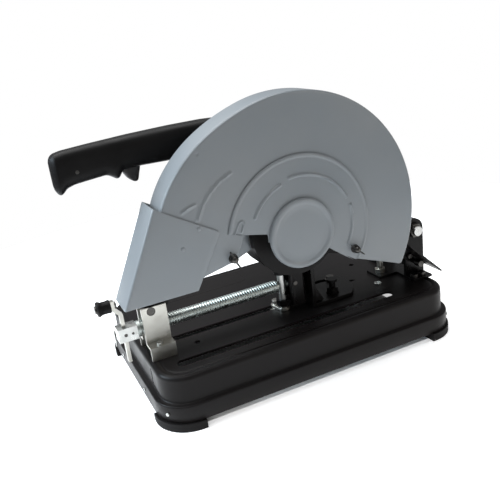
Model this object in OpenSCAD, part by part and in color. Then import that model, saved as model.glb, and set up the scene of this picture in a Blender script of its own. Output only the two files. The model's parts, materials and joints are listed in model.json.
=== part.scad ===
// Abrasive chop saw: pressed steel base with a quick-release screw vise,
// and a pivoting head with gearbox, motor, wheel guard and handle.
// Frame: millimetres, +X to the rear, +Y from the wheel side to the motor side,
// +Z up, origin on the bench plane at the centre of the four bench bolt holes.

/* [Base] */
// Length of the base along X
base_l = 485; // [470:1:500]
// Width of the base along Y
base_w = 320; // [310:1:330]
// Height of the base top above the bench
base_top = 77; // [74:1:80]
// Sheet thickness of the base
base_t = 3; // [2:0.5:4]

/* [Cutting head] */
// Height of the wheel spindle above the bench, head lowered
spindle_z = 221; // [220:1:222]
// Mid-plane of the wheel, measured from the base centre line
wheel_y = -113.5; // [-114:0.5:-113]
// Outer radius of the wheel guard
guard_r = 188; // [186:1:190]
// Height of the head pivot above the bench
pivot_z = 156; // [155:1:157]

/* [Vise] */
// Height of the vise screw axis above the bench
screw_z = 118; // [117:1:119]
// Outer radius of the vise screw thread
screw_r = 9.5; // [9:0.1:9.6]
// Pitch of the vise screw thread
screw_pitch = 4; // [3:0.5:5]
// Angle of the crank, measured from straight up
crank_angle = 0; // [0:5:90]

/* [Hidden] */
$fn = 64;

gap = 0.3;            // air between pieces that move past each other
fit = 0.05;           // radial running clearance of shafts and pins
eps = 0.01;

// ---- base
skirt_z = 12;         // bottom edge of the skirt
step_z = 38;          // height of the step in the side wall
step_in = 8;          // how far the upper wall stands in from the skirt
skirt_r = 48.5;
wall_r = 38.5;
foot_out = 3;         // feet stand out from the skirt
foot_side = 44;
bench_x = 208;        // bench bolt holes, half spacing
bench_y = 126;
bench_r = 4.25;
tab_side = 64;
kerf_x0 = -203;
kerf_x1 = 150;
kerf_w = 16;
guide_y = -40;        // guide slot of the vise
guide_x0 = -188;
guide_x1 = -6;
guide_w = 14;
top_holes = [[-157.5, -71, 4.5], [166, 21, 4.5], [128, -34, 4.5]];

// ---- head
spindle_x = -7;
guard_y0 = wheel_y - 18.5;    // outer face of the near guard plate
guard_depth = 46;
guard_y1 = guard_y0 + guard_depth;
guard_t = 2;
case_x = 4;           // centre of the round gear case nose
case_z = 216;
case_r = 69;
case_y0 = -100;
case_y1 = -52;
case_wall = 6;
gear_module = 1.75;
gear_teeth = 47;
pinion_teeth = 9;
centre_d = gear_module * (gear_teeth + pinion_teeth) / 2;
motor_a = 40;         // direction from spindle to motor axis
motor_x = spindle_x + centre_d * cos(motor_a);
motor_z = spindle_z + centre_d * sin(motor_a);
motor_r = 52;
motor_y0 = -46;
motor_y1 = 92;
cap_y1 = 118;
pivot_x = 219;
pivot_r = 8;          // pivot shaft radius
cheek_y0 = -84;
cheek_y1 = 0;
cheek_t = 5;
cheek_x0 = 201;
cheek_x1 = 237;
foot_flange = 20;
plate_t = 4;
lock_x = 215.5;
lock_z = 104.5;
lock_r = 4;

// ---- vise
vise_y = -57;
half_gap = 9.8;       // half the inner distance between the vise bracket plates
plate_v = 3;
vb_x0 = -229;
vb_x1 = -193;
shelf_z = 97;
shelf_w = 17.2;
nut_pin = [-215, 143];
pin_x = -9;           // upright pin that joins screw and jaw
post_r = 6.5;
jaw_x1 = 22;
jaw_top = 146;
fence_x = 28;
fence_t = 6;
fence_pivot = [75, -63];
fence_clamp_r = 48;
fence_clamp_a = 63;
fence_swing = 45;

function polar(c, r, a) = [c[0] + r * cos(a), c[1] + r * sin(a)];
function arc(c, r, a0, a1, n) = [for (i = [0:n]) polar(c, r, a0 + (a1 - a0) * i / n)];

// Cylinder along +Y from y0
module ycyl(x, z, y0, h, r) {
    translate([x, y0, z]) rotate([-90, 0, 0]) cylinder(r = r, h = h);
}

// Cylinder along +X from x0
module xcyl(x0, y, z, h, r) {
    translate([x0, y, z]) rotate([0, 90, 0]) cylinder(r = r, h = h);
}

// Cylinder along +Z from z0
module zcyl(x, y, z0, h, r) {
    translate([x, y, z0]) cylinder(r = r, h = h);
}

// A 2D outline in X and Z, given thickness t along +Y from y0
module xz_plate(y0, t) {
    translate([0, y0 + t, 0]) rotate([90, 0, 0]) linear_extrude(t) children();
}

// A 2D outline in Y and Z, given thickness t along +X from x0
module yz_plate(x0, t) {
    translate([x0, 0, 0]) rotate([90, 0, 90]) linear_extrude(t) children();
}

// Box between two corners
module span(a, b) {
    translate(a) cube(b - a);
}

// Rounded rectangle centred on the origin
module round_rect(l, w, r) {
    square([l - 2 * r, w], center = true);
    square([l, w - 2 * r], center = true);
    for (sx = [-1, 1], sy = [-1, 1])
        translate([sx * (l / 2 - r), sy * (w / 2 - r)]) circle(r);
}

// Slot with round ends along X
module slot2d(x0, x1, y, w) {
    translate([x0 + w / 2, y - w / 2]) square([x1 - x0 - w, w]);
    for (x = [x0 + w / 2, x1 - w / 2]) translate([x, y]) circle(w / 2);
}

// Hexagon with distance f across its flats
module hex(f) {
    circle(r = f / sqrt(3), $fn = 6);
}

// Spur gear outline with thinned straight-sided teeth, one tooth at angle a
module gear2d(teeth, bore, a) {
    rp = gear_module * teeth / 2;
    pitch_a = 360 / teeth;
    difference() {
        polygon([for (i = [0:teeth - 1])
            for (k = [[-0.30, -1.2], [-0.11, 0.75], [0.11, 0.75], [0.30, -1.2]])
                polar([0, 0], rp + k[1] * gear_module, a + (i + k[0]) * pitch_a)]);
        circle(bore);
    }
}

// ================================================================ base

module base_corner(side) {
    for (sx = [-1, 1], sy = [-1, 1])
        translate([sx * (base_l - side) / 2, sy * (base_w - side) / 2])
            square([side + 20, side + 20], center = true);
}

module base_shell() color("#2e2a2b") {
    up_l = base_l - 2 * step_in;
    up_w = base_w - 2 * step_in;
    difference() {
        union() {
            translate([0, 0, skirt_z]) linear_extrude(step_z - skirt_z)
                round_rect(base_l, base_w, skirt_r);
            translate([0, 0, skirt_z]) linear_extrude(base_top - skirt_z)
                round_rect(up_l, up_w, wall_r);
        }
        translate([0, 0, skirt_z - 1]) linear_extrude(step_z - skirt_z + 1 - base_t)
            round_rect(base_l - 2 * base_t, base_w - 2 * base_t, skirt_r - base_t);
        translate([0, 0, skirt_z - 1]) linear_extrude(base_top - skirt_z + 1 - base_t)
            round_rect(up_l - 2 * base_t, up_w - 2 * base_t, wall_r - base_t);
        translate([0, 0, base_top - base_t - 1]) linear_extrude(base_t + 2) {
            slot2d(kerf_x0, kerf_x1, wheel_y, kerf_w);
            slot2d(guide_x0, guide_x1, guide_y, guide_w);
            for (h = top_holes) translate([h[0], h[1]]) circle(h[2]);
            for (s = [-1, 1]) translate([vb_x0 + 16, vise_y + s * 21.5]) circle(4.2);
            translate(fence_pivot) circle(5.2);
            translate(polar(fence_pivot, fence_clamp_r, fence_clamp_a)) circle(4.2);
            for (x = [cheek_x0 + 8, cheek_x1 - 13], y = bracket_bolt_y())
                translate([x, y]) circle(4.2);
            translate([154.5, -72]) circle(3.2);
        }
        // wrench slot in the front wall
        span([-base_l / 2 + step_in - 1, -90, 46],
            [-base_l / 2 + step_in + base_t + 1, -86.5, 70]);
    }
    // corner tabs that carry the feet and the bench bolts
    difference() {
        translate([0, 0, skirt_z]) linear_extrude(base_t) intersection() {
            round_rect(base_l - 2, base_w - 2, skirt_r - 1);
            base_corner(tab_side);
        }
        for (sx = [-1, 1], sy = [-1, 1])
            zcyl(sx * bench_x, sy * bench_y, skirt_z - 1, base_t + 2, bench_r);
    }
}

function bracket_bolt_y() = [cheek_y0 - foot_flange / 2, cheek_y1 + foot_flange / 2];

module feet() color("#1b1a1a") {
    difference() {
        linear_extrude(skirt_z) intersection() {
            round_rect(base_l + 2 * foot_out, base_w + 2 * foot_out, skirt_r + foot_out);
            base_corner(foot_side);
        }
        for (sx = [-1, 1], sy = [-1, 1]) {
            zcyl(sx * bench_x, sy * bench_y, -1, skirt_z + 2, bench_r);
            // grip dimple under each foot
            zcyl(sx * (bench_x + 14), sy * bench_y, -1, 3, 3);
        }
    }
}

// Rivets in the skirt and the plated screw in the top
module base_fasteners() color("#b9bbb8") {
    for (p = [[60, 24], [104, 27], [108, 20], [-60, 24]])
        xcyl(-base_l / 2 - 1.4, p[0], p[1], 1.4, 2.6);
    for (a = [215, 325]) {
        cx = (a < 270 ? -1 : 1) * (base_l / 2 - skirt_r);
        translate([cx, -(base_w / 2 - skirt_r), 25]) rotate([0, 0, a])
            xcyl(skirt_r, 0, 0, 1.8, 2.6);
    }
    zcyl(154.5, -72, base_top, 2, 6);
    zcyl(154.5, -72, base_top - 10, 10, 3.2);
}

// ---- rear bracket and pivot

module cheek2d() {
    r = (cheek_x1 - cheek_x0) / 2;
    translate([cheek_x0, base_top]) square([2 * r, pivot_z - base_top]);
    translate([pivot_x, pivot_z]) circle(r);
}

module rear_bracket() color("#242222") {
    difference() {
        union() {
            xz_plate(cheek_y0, cheek_t) cheek2d();
            xz_plate(cheek_y1 - cheek_t, cheek_t) cheek2d();
            span([cheek_x0, cheek_y0 - foot_flange, base_top],
                [cheek_x1, cheek_y1 + foot_flange, base_top + plate_t]);
            // shelf that carries the depth stop
            span([cheek_x0 - 34, cheek_y0 + 24, base_top],
                [cheek_x0 + 1, cheek_y1 - 24, base_top + plate_t]);
        }
        ycyl(pivot_x, pivot_z, cheek_y0 - 1, cheek_y1 - cheek_y0 + 2, pivot_r);
        ycyl(lock_x, lock_z, cheek_y0 - 1, cheek_t + 2, lock_r + fit);
        for (x = [cheek_x0 + 8, cheek_x1 - 13], y = bracket_bolt_y())
            zcyl(x, y, base_top - 1, plate_t + 2, 4.2);
        zcyl(cheek_x0 - 20, (cheek_y0 + cheek_y1) / 2, base_top - 1, plate_t + 2, 5);
        ycyl(flap_hinge_x, flap_hinge_z, cheek_y0 - 1, cheek_t + 2, 3 + fit);
    }
}

module hex_bolt(x, y, z, f, head_h, r, shank) {
    translate([x, y, z]) linear_extrude(head_h) hex(f);
    zcyl(x, y, z - shank, shank + eps, r);
}

module bracket_bolts() color("#3a3836") {
    for (x = [cheek_x0 + 8, cheek_x1 - 13], y = bracket_bolt_y()) {
        hex_bolt(x, y, base_top + plate_t, 12, 5, 4.1, plate_t + base_t + 8);
        translate([x, y, base_top - base_t - 6]) linear_extrude(6) difference() {
            hex(12);
            circle(4.1);
        }
    }
}

module pivot_shaft() color("#8f9190") {
    ycyl(pivot_x, pivot_z, cheek_y0 - 12, cheek_y1 - cheek_y0 + 24, pivot_r);
}

module pivot_nuts() color("#3a3836") {
    for (y = [cheek_y0 - 7, cheek_y1])
        xz_plate(y, 7) translate([pivot_x, pivot_z]) difference() {
            hex(21);
            circle(pivot_r);
        }
}

// Torsion spring round the pivot shaft, swept as an eight-sided wire
spring_turns = 4;
spring_r = 13.5;
wire_r = 1.6;
spring_y0 = -24;
spring_pitch = 3.6;
spring_steps = 16;
function spring_path() = concat(
    [[pivot_x - 34, spring_y0, pivot_z - spring_r - 4]],
    [for (i = [0:spring_turns * spring_steps]) let (a = -90 + 360 * i / spring_steps)
        [pivot_x + spring_r * cos(a), spring_y0 + spring_pitch * i / spring_steps,
         pivot_z + spring_r * sin(a)]],
    [[pivot_x + 4, spring_y0 + spring_pitch * spring_turns, pivot_z - 70]]);
function unit(v) = v / norm(v);
function ring_at(p, d, r, n) =
    let (u = unit(cross(d, [0, 1, 0.02])), w = cross(d, u))
    [for (k = [0:n - 1]) p + r * (u * cos(360 * k / n) + w * sin(360 * k / n))];

module wire(path, r, n = 8) {
    m = len(path);
    dirs = [for (i = [0:m - 1])
        unit(path[min(i + 1, m - 1)] - path[max(i - 1, 0)])];
    pts = [for (i = [0:m - 1]) each ring_at(path[i], dirs[i], r, n)];
    sides = [for (i = [0:m - 2], k = [0:n - 1])
        [i * n + k, i * n + (k + 1) % n, (i + 1) * n + (k + 1) % n, (i + 1) * n + k]];
    caps = [[for (k = [n - 1:-1:0]) k], [for (k = [0:n - 1]) (m - 1) * n + k]];
    polyhedron(points = pts, faces = concat(sides, caps), convexity = 6);
}

module return_spring() color("#55585a") {
    wire(spring_path(), wire_r);
}

module depth_stop_bolt() color("#8f9190") {
    x = cheek_x0 - 20;
    y = (cheek_y0 + cheek_y1) / 2;
    zcyl(x, y, base_top + 0.1, arm_low_z - gap - 5 - base_top - 0.1, 4.9);
    translate([x, y, arm_low_z - gap - 5]) linear_extrude(5) hex(13);
    translate([x, y, base_top + plate_t]) linear_extrude(6) difference() {
        hex(16);
        circle(4.9);
    }
}

// Spring-loaded style pin that locks the head down, shown drawn back
module head_lock_pin() color("#3a3836") {
    ycyl(lock_x, lock_z, cheek_y0 - 9, 9 + cheek_t - 1, lock_r);
    ycyl(lock_x, lock_z, cheek_y0 - 21, 12, 5.5);
}

// ---- rear spark flap: a bent sheet behind the wheel, bolted to the near cheek
flap_top = [178, 152];
flap_bend = [188, 142];
flap_tip = [237, 95.5];
flap_t = 2.5;
flap_y0 = -128;
flap_hinge_x = 205;
flap_hinge_z = 116;

module rear_spark_flap() color("#201f1f") {
    difference() {
        union() {
            xz_plate(flap_y0, cheek_y0 - 0.6 - flap_y0) polygon([
                flap_top, flap_bend, flap_tip, flap_tip + [-1.7, -1.9],
                flap_bend + [-2.3, -1.4], flap_top + [-2.3, -1]]);
            xz_plate(cheek_y0 - 0.6 - flap_t, flap_t) polygon([
                flap_bend, [216, 115.4], [207, 109.5], [202, 108], [196, 113], [192, 125],
                [188, 139]]);
        }
        ycyl(flap_hinge_x, flap_hinge_z, cheek_y0 - 9, 18, 3 + fit);
    }
}

module flap_bolt() color("#3a3836") {
    ycyl(flap_hinge_x, flap_hinge_z, cheek_y0 - 3.7, 3.5 + cheek_t, 3);
    xz_plate(cheek_y0 - 8, 4.3) translate([flap_hinge_x, flap_hinge_z]) hex(7.4);
}

// ================================================================ vise

// One bent plate: upright, outward shelf and down-turned edge; s is -1 near, 1 far
module vise_plate(s) {
    lo = half_gap;
    yz_plate(vb_x0, vb_x1 - vb_x0) translate([vise_y, 0]) polygon([
        [s * lo, shelf_z - plate_v], [s * (lo + plate_v + shelf_w), shelf_z - plate_v],
        [s * (lo + plate_v + shelf_w), shelf_z], [s * (lo + plate_v), shelf_z],
        [s * (lo + plate_v), shelf_z + 52], [s * lo, shelf_z + 52]]);
    y_in = s * (lo + shelf_w);
    y_out = s * (lo + shelf_w + plate_v);
    span([vb_x0, vise_y + min(y_in, y_out), base_top],
        [vb_x1, vise_y + max(y_in, y_out), shelf_z]);
}

module vise_bracket(s) color("#b4afa6") {
    difference() {
        vise_plate(s);
        ycyl(nut_pin[0], nut_pin[1], vise_y - 40, 80, 6.2);
        zcyl(vb_x0 + 16, vise_y + s * 21.5, base_top - 1, 40, 4.2);
    }
}

module vise_bracket_near() {
    vise_bracket(-1);
}

module vise_bracket_far() {
    vise_bracket(1);
}

module bracket_screws() color("#c3c4c0") {
    for (s = [-1, 1]) {
        x = vb_x0 + 16;
        y = vise_y + s * 21.5;
        difference() {
            zcyl(x, y, shelf_z, 2.6, 4.9);
            span([x - 6, y - 0.8, shelf_z + 1.2], [x + 6, y + 0.8, shelf_z + 4]);
        }
        zcyl(x, y, base_top - 12, shelf_z - base_top + 12 + eps, 4.1);
        translate([x, y, base_top - base_t - 6]) linear_extrude(6) difference() {
            hex(12);
            circle(4.1);
        }
    }
}

// Flip nut: rests on the screw from above and swings up about its pin
module half_nut() color("#3b3a38") {
    nut_w = 2 * half_gap - 2 * gap;
    difference() {
        xz_plate(vise_y - nut_w / 2, nut_w) difference() {
            union() {
                translate(nut_pin) circle(10);
                polygon([nut_pin + [-6, -8], nut_pin + [5, -23], nut_pin + [20, -23],
                    nut_pin + [20, -6], nut_pin + [30, 10], nut_pin + [24, 13],
                    nut_pin + [2, 10]]);
            }
            translate(nut_pin) circle(5 + fit);
        }
        xcyl(vb_x0 - 5, vise_y, screw_z, 60, screw_r + gap);
    }
}

module half_nut_pin() color("#2b2a29") {
    l = 2 * (half_gap + plate_v) - 3;
    ycyl(nut_pin[0], nut_pin[1], vise_y - l / 2, l, 5);
    for (s = [-1, 1])
        ycyl(nut_pin[0], nut_pin[1], vise_y + s * (half_gap + 1.2) - 1.1, 2.2, 6.2);
}

thread_x0 = -228;
module vise_screw() color("#c2c6bd") {
    core_r = screw_r - 1;
    xcyl(screw_x0, vise_y, screw_z, thread_x0 - screw_x0, 6);
    xcyl(thread_x0 - 3, vise_y, screw_z, pin_x - post_r - gap - thread_x0 + 3, core_r);
    // thread crests
    for (x = [thread_x0:screw_pitch:pin_x - post_r - 4])
        xcyl(x, vise_y, screw_z, screw_pitch * 0.55, screw_r);
    xcyl(pin_x - post_r - 2, vise_y, screw_z, 2 * post_r + 6, 3.5);
    xcyl(pin_x + post_r + 1, vise_y, screw_z, 3, 5);
}

module screw_collar() color("#b9bcb3") {
    difference() {
        xcyl(-237, vise_y, screw_z, 5.5, 11.5);
        xcyl(-238, vise_y, screw_z, 8, 6);
    }
}

hub_x0 = -264;
arm_x0 = -256.5;
arm_t = 5;
arm_w = 8;
arm_up = 28;
arm_down = 44;
grip_off = 44;
grip_x0 = -283;
screw_x0 = hub_x0 + 14;
module crank_frame() {
    translate([0, vise_y, screw_z]) rotate([crank_angle, 0, 0]) children();
}

module crank_hub() color("#c2c4bd") crank_frame() {
    difference() {
        span([hub_x0, -10, -10], [hub_x0 + 27, 10, 10]);
        xcyl(hub_x0 + 14, 0, 0, 20, 6);
        span([arm_x0, -arm_w / 2, -11], [arm_x0 + arm_t, arm_w / 2, 11]);
        translate([arm_x0 + arm_t / 2, -11, 0]) rotate([-90, 0, 0])
            cylinder(r = 2.5, h = 10);
        translate([hub_x0 + 20, -11, 0]) rotate([-90, 0, 0]) cylinder(r = 2, h = 22);
    }
}

// Flat bar through the hub; its top is joggled outward to carry the grip
module crank_arm() color("#bdb9b0") crank_frame() {
    difference() {
        translate([0, arm_w / 2, 0]) rotate([90, 0, 0]) linear_extrude(arm_w) polygon([
            [arm_x0, -arm_down], [arm_x0 + arm_t, -arm_down], [arm_x0 + arm_t, arm_up + 1.5],
            [arm_x0 - 3.5, arm_up + 11.5], [arm_x0 - 3.5, grip_off + 7],
            [arm_x0 - 8.5, grip_off + 7], [arm_x0 - 8.5, arm_up + 9.5],
            [arm_x0, arm_up]]);
        xcyl(arm_x0 - 12, 0, grip_off, 12, 3);
    }
}

// Set screw and cross pin of the hub, and the headed spindle of the grip
module crank_pins() color("#4a4947") crank_frame() {
    translate([arm_x0 + arm_t / 2, -9.4, 0]) rotate([-90, 0, 0]) cylinder(r = 2.5, h = 5.4);
    translate([hub_x0 + 20, -9.6, 0]) rotate([-90, 0, 0]) cylinder(r = 2, h = 3.6);
    translate([hub_x0 + 20, 6, 0]) rotate([-90, 0, 0]) cylinder(r = 2, h = 3.6);
    xcyl(grip_x0 - 1.5, 0, grip_off, arm_x0 - 2.5 - grip_x0 + 1.5, 3);
    xcyl(grip_x0 - 3.5, 0, grip_off, 2, 5.5);
    xcyl(arm_x0 - 3.5 + eps, 0, grip_off, 2.5, 5);
}

module crank_grip() color("#1d1c1c") crank_frame() {
    translate([grip_x0 - 1.2, 0, grip_off]) rotate([0, 90, 0]) rotate_extrude()
        polygon([[3 + fit, 0], [8.5, 0], [10.5, 2], [10.5, 4], [8.6, 7], [8.8, 15],
            [9.6, 18.9], [3 + fit, 18.9]]);
}

module jaw_pin() color("#b8beba") {
    difference() {
        zcyl(pin_x, vise_y, base_top + 4.7, 58.3, post_r);
        xcyl(pin_x - 10, vise_y, screw_z, 20, 3.5 + fit);
    }
}

module pin_snap_ring() color("#1f1e1e") {
    translate([pin_x, vise_y, base_top + 6.5]) linear_extrude(2) difference() {
        circle(post_r + 2.5);
        circle(post_r);
        translate([-2, 0]) square([4, 20]);
    }
}

// Foot of the pin with a round slider that runs in the guide slot
module jaw_guide() color("#a6a6a4") {
    hull() {
        zcyl(pin_x, vise_y, base_top + gap, 4.7 - gap, 9);
        zcyl(pin_x - 5, guide_y, base_top + gap, 4.7 - gap, 8);
    }
    zcyl(pin_x - 5, guide_y, base_top - base_t - 4, base_t + 4.5, guide_w / 2 - 0.4);
    zcyl(pin_x - 5, guide_y, base_top - base_t - 6, 6 - gap, 10);
    zcyl(pin_x - 5, guide_y, base_top + 4.5, 7, 6);
}

// Hollow jaw block with a thick face and two lugs round the pin
module vise_jaw() color("#1a1919") {
    w = 40;
    y0 = vise_y - w / 2;
    z0 = base_top + 9.5;
    difference() {
        union() {
            translate([0, 0, z0]) linear_extrude(jaw_top - z0) {
                translate([pin_x + post_r + 1.5, y0])
                    square([jaw_x1 - 6 - pin_x - post_r - 1.5, w]);
                translate([jaw_x1 - 10, y0 + 6]) square([10, w - 12]);
                for (y = [y0 + 6, y0 + w - 6]) translate([jaw_x1 - 6, y]) circle(6);
            }
            for (z = [z0, jaw_top - 9]) hull() {
                zcyl(pin_x, vise_y, z, 9, post_r + 4);
                span([pin_x + post_r, vise_y - 12, z],
                    [pin_x + post_r + 3, vise_y + 12, z + 9]);
            }
        }
        zcyl(pin_x, vise_y, z0 - 1, jaw_top, post_r + fit);
        span([pin_x + post_r + 7, y0 + 5, z0 - 1], [jaw_x1 - 9, y0 + w - 5, jaw_top - 8]);
        xcyl(pin_x, vise_y, screw_z, 17, 8);
        ycyl(4, 124, y0 - 1, 6.5, 2 + fit);
        span([pin_x + post_r + 0.2, vise_y - 8, z0 + 9 + gap],
            [pin_x + post_r + 8, vise_y + 8, jaw_top - 9 - gap]);
    }
}

module jaw_screw() color("#77787a") {
    y0 = vise_y - 20;
    ycyl(4, 124, y0 - 1.6, 1.6, 3.2);
    ycyl(4, 124, y0, 3, 2);
}

module fence2d() {
    intersection() {
        translate([57, -36]) circle(62);
        translate([fence_x, -84]) square([100, 88]);
    }
}

module fence() color("#211f20") {
    difference() {
        union() {
            translate([0, 0, base_top + gap]) linear_extrude(5.7) fence2d();
            span([fence_x, -84, base_top + gap], [fence_x + fence_t, 30, jaw_top + 3]);
            for (y = [-70, -20]) translate([fence_x + fence_t - eps, y, base_top + 5])
                rotate([90, 0, 0]) linear_extrude(5) polygon([[0, 0], [18, 0], [0, 34]]);
        }
        zcyl(fence_pivot[0], fence_pivot[1], base_top - 1, 10, 5 + fit);
        // curved slot for the clamp bolt
        translate([fence_pivot[0], fence_pivot[1], base_top - 1]) linear_extrude(10)
            difference() {
                polygon(concat(
                    arc([0, 0], fence_clamp_r + 4.6, fence_clamp_a - 6,
                        fence_clamp_a + fence_swing + 6, 24),
                    arc([0, 0], fence_clamp_r - 4.6, fence_clamp_a + fence_swing + 6,
                        fence_clamp_a - 6, 24)));
            }
    }
}

module fence_pivot_bolt() color("#191818") {
    x = fence_pivot[0];
    y = fence_pivot[1];
    z = base_top + 6 + gap;
    zcyl(x, y, base_top - 14, 14 + 6 + 2 * gap, 5);
    zcyl(x, y, z, 2.4, 10);
    translate([x, y, z + 2.4]) linear_extrude(7) hex(17);
    zcyl(x, y, z + 9.4, 9, 5);
    zcyl(x, y, z + 18.4, 4, 8);
}

module fence_clamp_bolt() color("#191818") {
    p = polar(fence_pivot, fence_clamp_r, fence_clamp_a);
    z = base_top + 6 + gap;
    zcyl(p[0], p[1], base_top - 12, 12 + 6 + 2 * gap, 4);
    zcyl(p[0], p[1], z, 1.6, 8);
    translate([p[0], p[1], z + 1.6]) linear_extrude(5) hex(12);
}

// ================================================================ head

arm_low_z = 128;      // underside of the arm, above the depth stop
module case2d() {
    translate([case_x, case_z]) circle(case_r);
    translate([motor_x, motor_z]) circle(motor_r + 4);
}

module arm2d() {
    polygon([[case_x + 30, case_z + 72], [pivot_x - 40, pivot_z + 26], [pivot_x, pivot_z + 16],
        [pivot_x, pivot_z - 16], [pivot_x - 60, arm_low_z], [case_x + 60, case_z - 60],
        [case_x, case_z - 40], [case_x, case_z + 40]]);
}

// Gear case casting with the head arm and the pivot barrel
module gear_case() color("#232121") {
    y_arm = -78;
    difference() {
        union() {
            xz_plate(case_y0, case_y1 - case_y0) translate([case_x, case_z]) circle(case_r);
            xz_plate(-83, case_y1 + 83) case2d();
            xz_plate(y_arm, 22) arm2d();
            // stop pad under the arm
            span([cheek_x0 - 34, y_arm, arm_low_z], [cheek_x0 - 8, -30, arm_low_z + 14]);
            ycyl(pivot_x, pivot_z, cheek_y0 + cheek_t + gap, 52, 17.5);
            // ear for the lock pin
            xz_plate(-78, 12) polygon([[lock_x - 9, pivot_z], [lock_x + 9, pivot_z],
                [lock_x + 9, lock_z - 9], [lock_x - 9, lock_z - 9]]);
        }
        // gear chamber, open to the motor side
        translate([0, 0, 0]) xz_plate(case_y0 + case_wall + 12, 60) {
            translate([case_x, case_z]) circle(case_r - case_wall);
            intersection() {
                translate([motor_x, motor_z]) circle(motor_r - 4);
                translate([motor_x - 70, motor_z - 70]) square(140);
            }
        }
        // front bearing seat and spindle hole
        ycyl(spindle_x, spindle_z, case_y0 + case_wall, 20, 21);
        ycyl(spindle_x, spindle_z, case_y0 - 1, 20, 14);
        ycyl(pivot_x, pivot_z, cheek_y0, 60, 11);
        ycyl(lock_x, lock_z, -90, 40, lock_r + 0.2);
    }
}

module pivot_bushes() color("#a8854a") {
    for (y = [cheek_y0 + cheek_t + gap, cheek_y0 + cheek_t + gap + 34])
        difference() {
            ycyl(pivot_x, pivot_z, y, 18, 11);
            ycyl(pivot_x, pivot_z, y - 1, 20, pivot_r + fit);
        }
}

// Motor housing with its adapter plate, handle lug and brush sockets
module motor_housing() color("#262424") {
    difference() {
        union() {
            xz_plate(case_y1, motor_y0 - case_y1) case2d();
            ycyl(motor_x, motor_z, motor_y0 - eps, motor_y1 - motor_y0, motor_r);
            // tongue that the handle is screwed to
            span([motor_x - 24, -50, motor_z + 40], [motor_x + 12, -38, motor_z + 74]);
            for (s = [-1, 1]) xcyl(s < 0 ? motor_x - 60 : motor_x + 44, 71, motor_z, 16, 9);
            // cooling ribs
            for (k = [0:11]) ycyl(motor_x + (motor_r + 0.5) * cos(k * 30 + 15),
                motor_z + (motor_r + 0.5) * sin(k * 30 + 15), -30, 74, 2);
        }
        ycyl(motor_x, motor_z, motor_y0 + 8, 200, motor_r - 4);
        ycyl(motor_x, motor_z, case_y1 - 1, 12, 16);
        ycyl(motor_x, motor_z, case_y1 - 1, 30, 8);
        ycyl(spindle_x, spindle_z, case_y1 - 1, 5, 13);
        for (s = [-1, 1]) xcyl(s < 0 ? motor_x - 70 : motor_x + 30, 71, motor_z, 40, 6);
        for (x = [motor_x - 16, motor_x + 4]) ycyl(x, motor_z + 66, -60, 30, 2.6);
        // outlet vents near the fan
        for (k = [0:7]) translate([motor_x, -30, motor_z]) rotate([0, k * 45 + 22.5 + 7.5, 0])
            translate([motor_r - 8, 0, -3]) cube([16, 12, 6]);
    }
}

module motor_end_cap() color("#1d1c1c") {
    difference() {
        union() {
            ycyl(motor_x, motor_z, motor_y1, 8, motor_r);
            ycyl(motor_x, motor_z, motor_y1 + 8 - eps, 10, motor_r - 11);
            ycyl(motor_x, motor_z, motor_y1 + 18 - 2 * eps, 8, motor_r - 17);
            // cord entry gland
            ycyl(motor_x + 21, motor_z - 21, motor_y1 + 8 - eps, 26, 9);
        }
        ycyl(motor_x, motor_z, motor_y1 - 1, 6, motor_r - 8);
        ycyl(motor_x, motor_z, motor_y1 + 4, 11, motor_r - 16);
        ycyl(motor_x + 21, motor_z - 21, motor_y1 + 4, 40, 4.5);
        for (k = [0:9]) translate([motor_x, motor_y1, motor_z]) rotate([0, k * 36, 0])
            translate([19, 13, -2]) cube([10, 16, 4]);
    }
    // rear bearing cup
    difference() {
        ycyl(motor_x, motor_z, motor_y1 - 1, 18, 14);
        ycyl(motor_x, motor_z, motor_y1 - 2, 12, 11);
        ycyl(motor_x, motor_z, motor_y1 - 2, 17, 6);
    }
}

module motor_screws() color("#77787a") {
    for (a = [45, 135, 225, 315]) {
        x = motor_x + 45.5 * cos(a);
        z = motor_z + 45.5 * sin(a);
        ycyl(x, z, motor_y1 + 8, 3, 3.6);
    }
    for (a = [170, 220, 270, 310]) {
        x = case_x + 57 * cos(a);
        z = case_z + 57 * sin(a);
        ycyl(x, z, motor_y0, 4, 4.5);
    }
}

module brush_caps() color("#151414") {
    for (s = [-1, 1]) {
        x0 = s < 0 ? motor_x - 63 : motor_x + 51;
        difference() {
            union() {
                xcyl(x0, 71, motor_z, 12, 6);
                xcyl(s < 0 ? x0 : x0 + 9, 71, motor_z, 3, 8);
            }
            span([s < 0 ? x0 - 1 : x0 + 11, 64, motor_z - 0.8],
                [s < 0 ? x0 + 1 : x0 + 13, 78, motor_z + 0.8]);
        }
    }
}

commutator_r = 14;
module brushes() color("#4a4640") {
    for (s = [-1, 1]) {
        x0 = s < 0 ? motor_x - 51 : motor_x + commutator_r + gap;
        x1 = s < 0 ? motor_x - commutator_r - gap : motor_x + 51;
        span([x0, 67.5, motor_z - 3.5], [x1, 74.5, motor_z + 3.5]);
    }
}

stator_y = [-14, 48];
module stator() color("#6b5f52") {
    xz_plate(stator_y[0], stator_y[1] - stator_y[0]) translate([motor_x, motor_z])
        difference() {
            circle(motor_r - 4);
            circle(31);
            for (a = [0, 180]) rotate(a) translate([30, -11]) square([11, 22]);
        }
    for (s = [-1, 1]) ycyl(motor_x + s * 40, motor_z, stator_y[1] - eps, 7, 6);
}

module armature() color("#8a8781") {
    difference() {
        ycyl(motor_x, motor_z, stator_y[0], stator_y[1] - stator_y[0], 30);
        for (k = [0:11]) ycyl(motor_x + 29 * cos(k * 30), motor_z + 29 * sin(k * 30),
            stator_y[0] - 1, stator_y[1] - stator_y[0] + 2, 2);
    }
    ycyl(motor_x, motor_z, -76, 182, 5);
}

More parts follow.
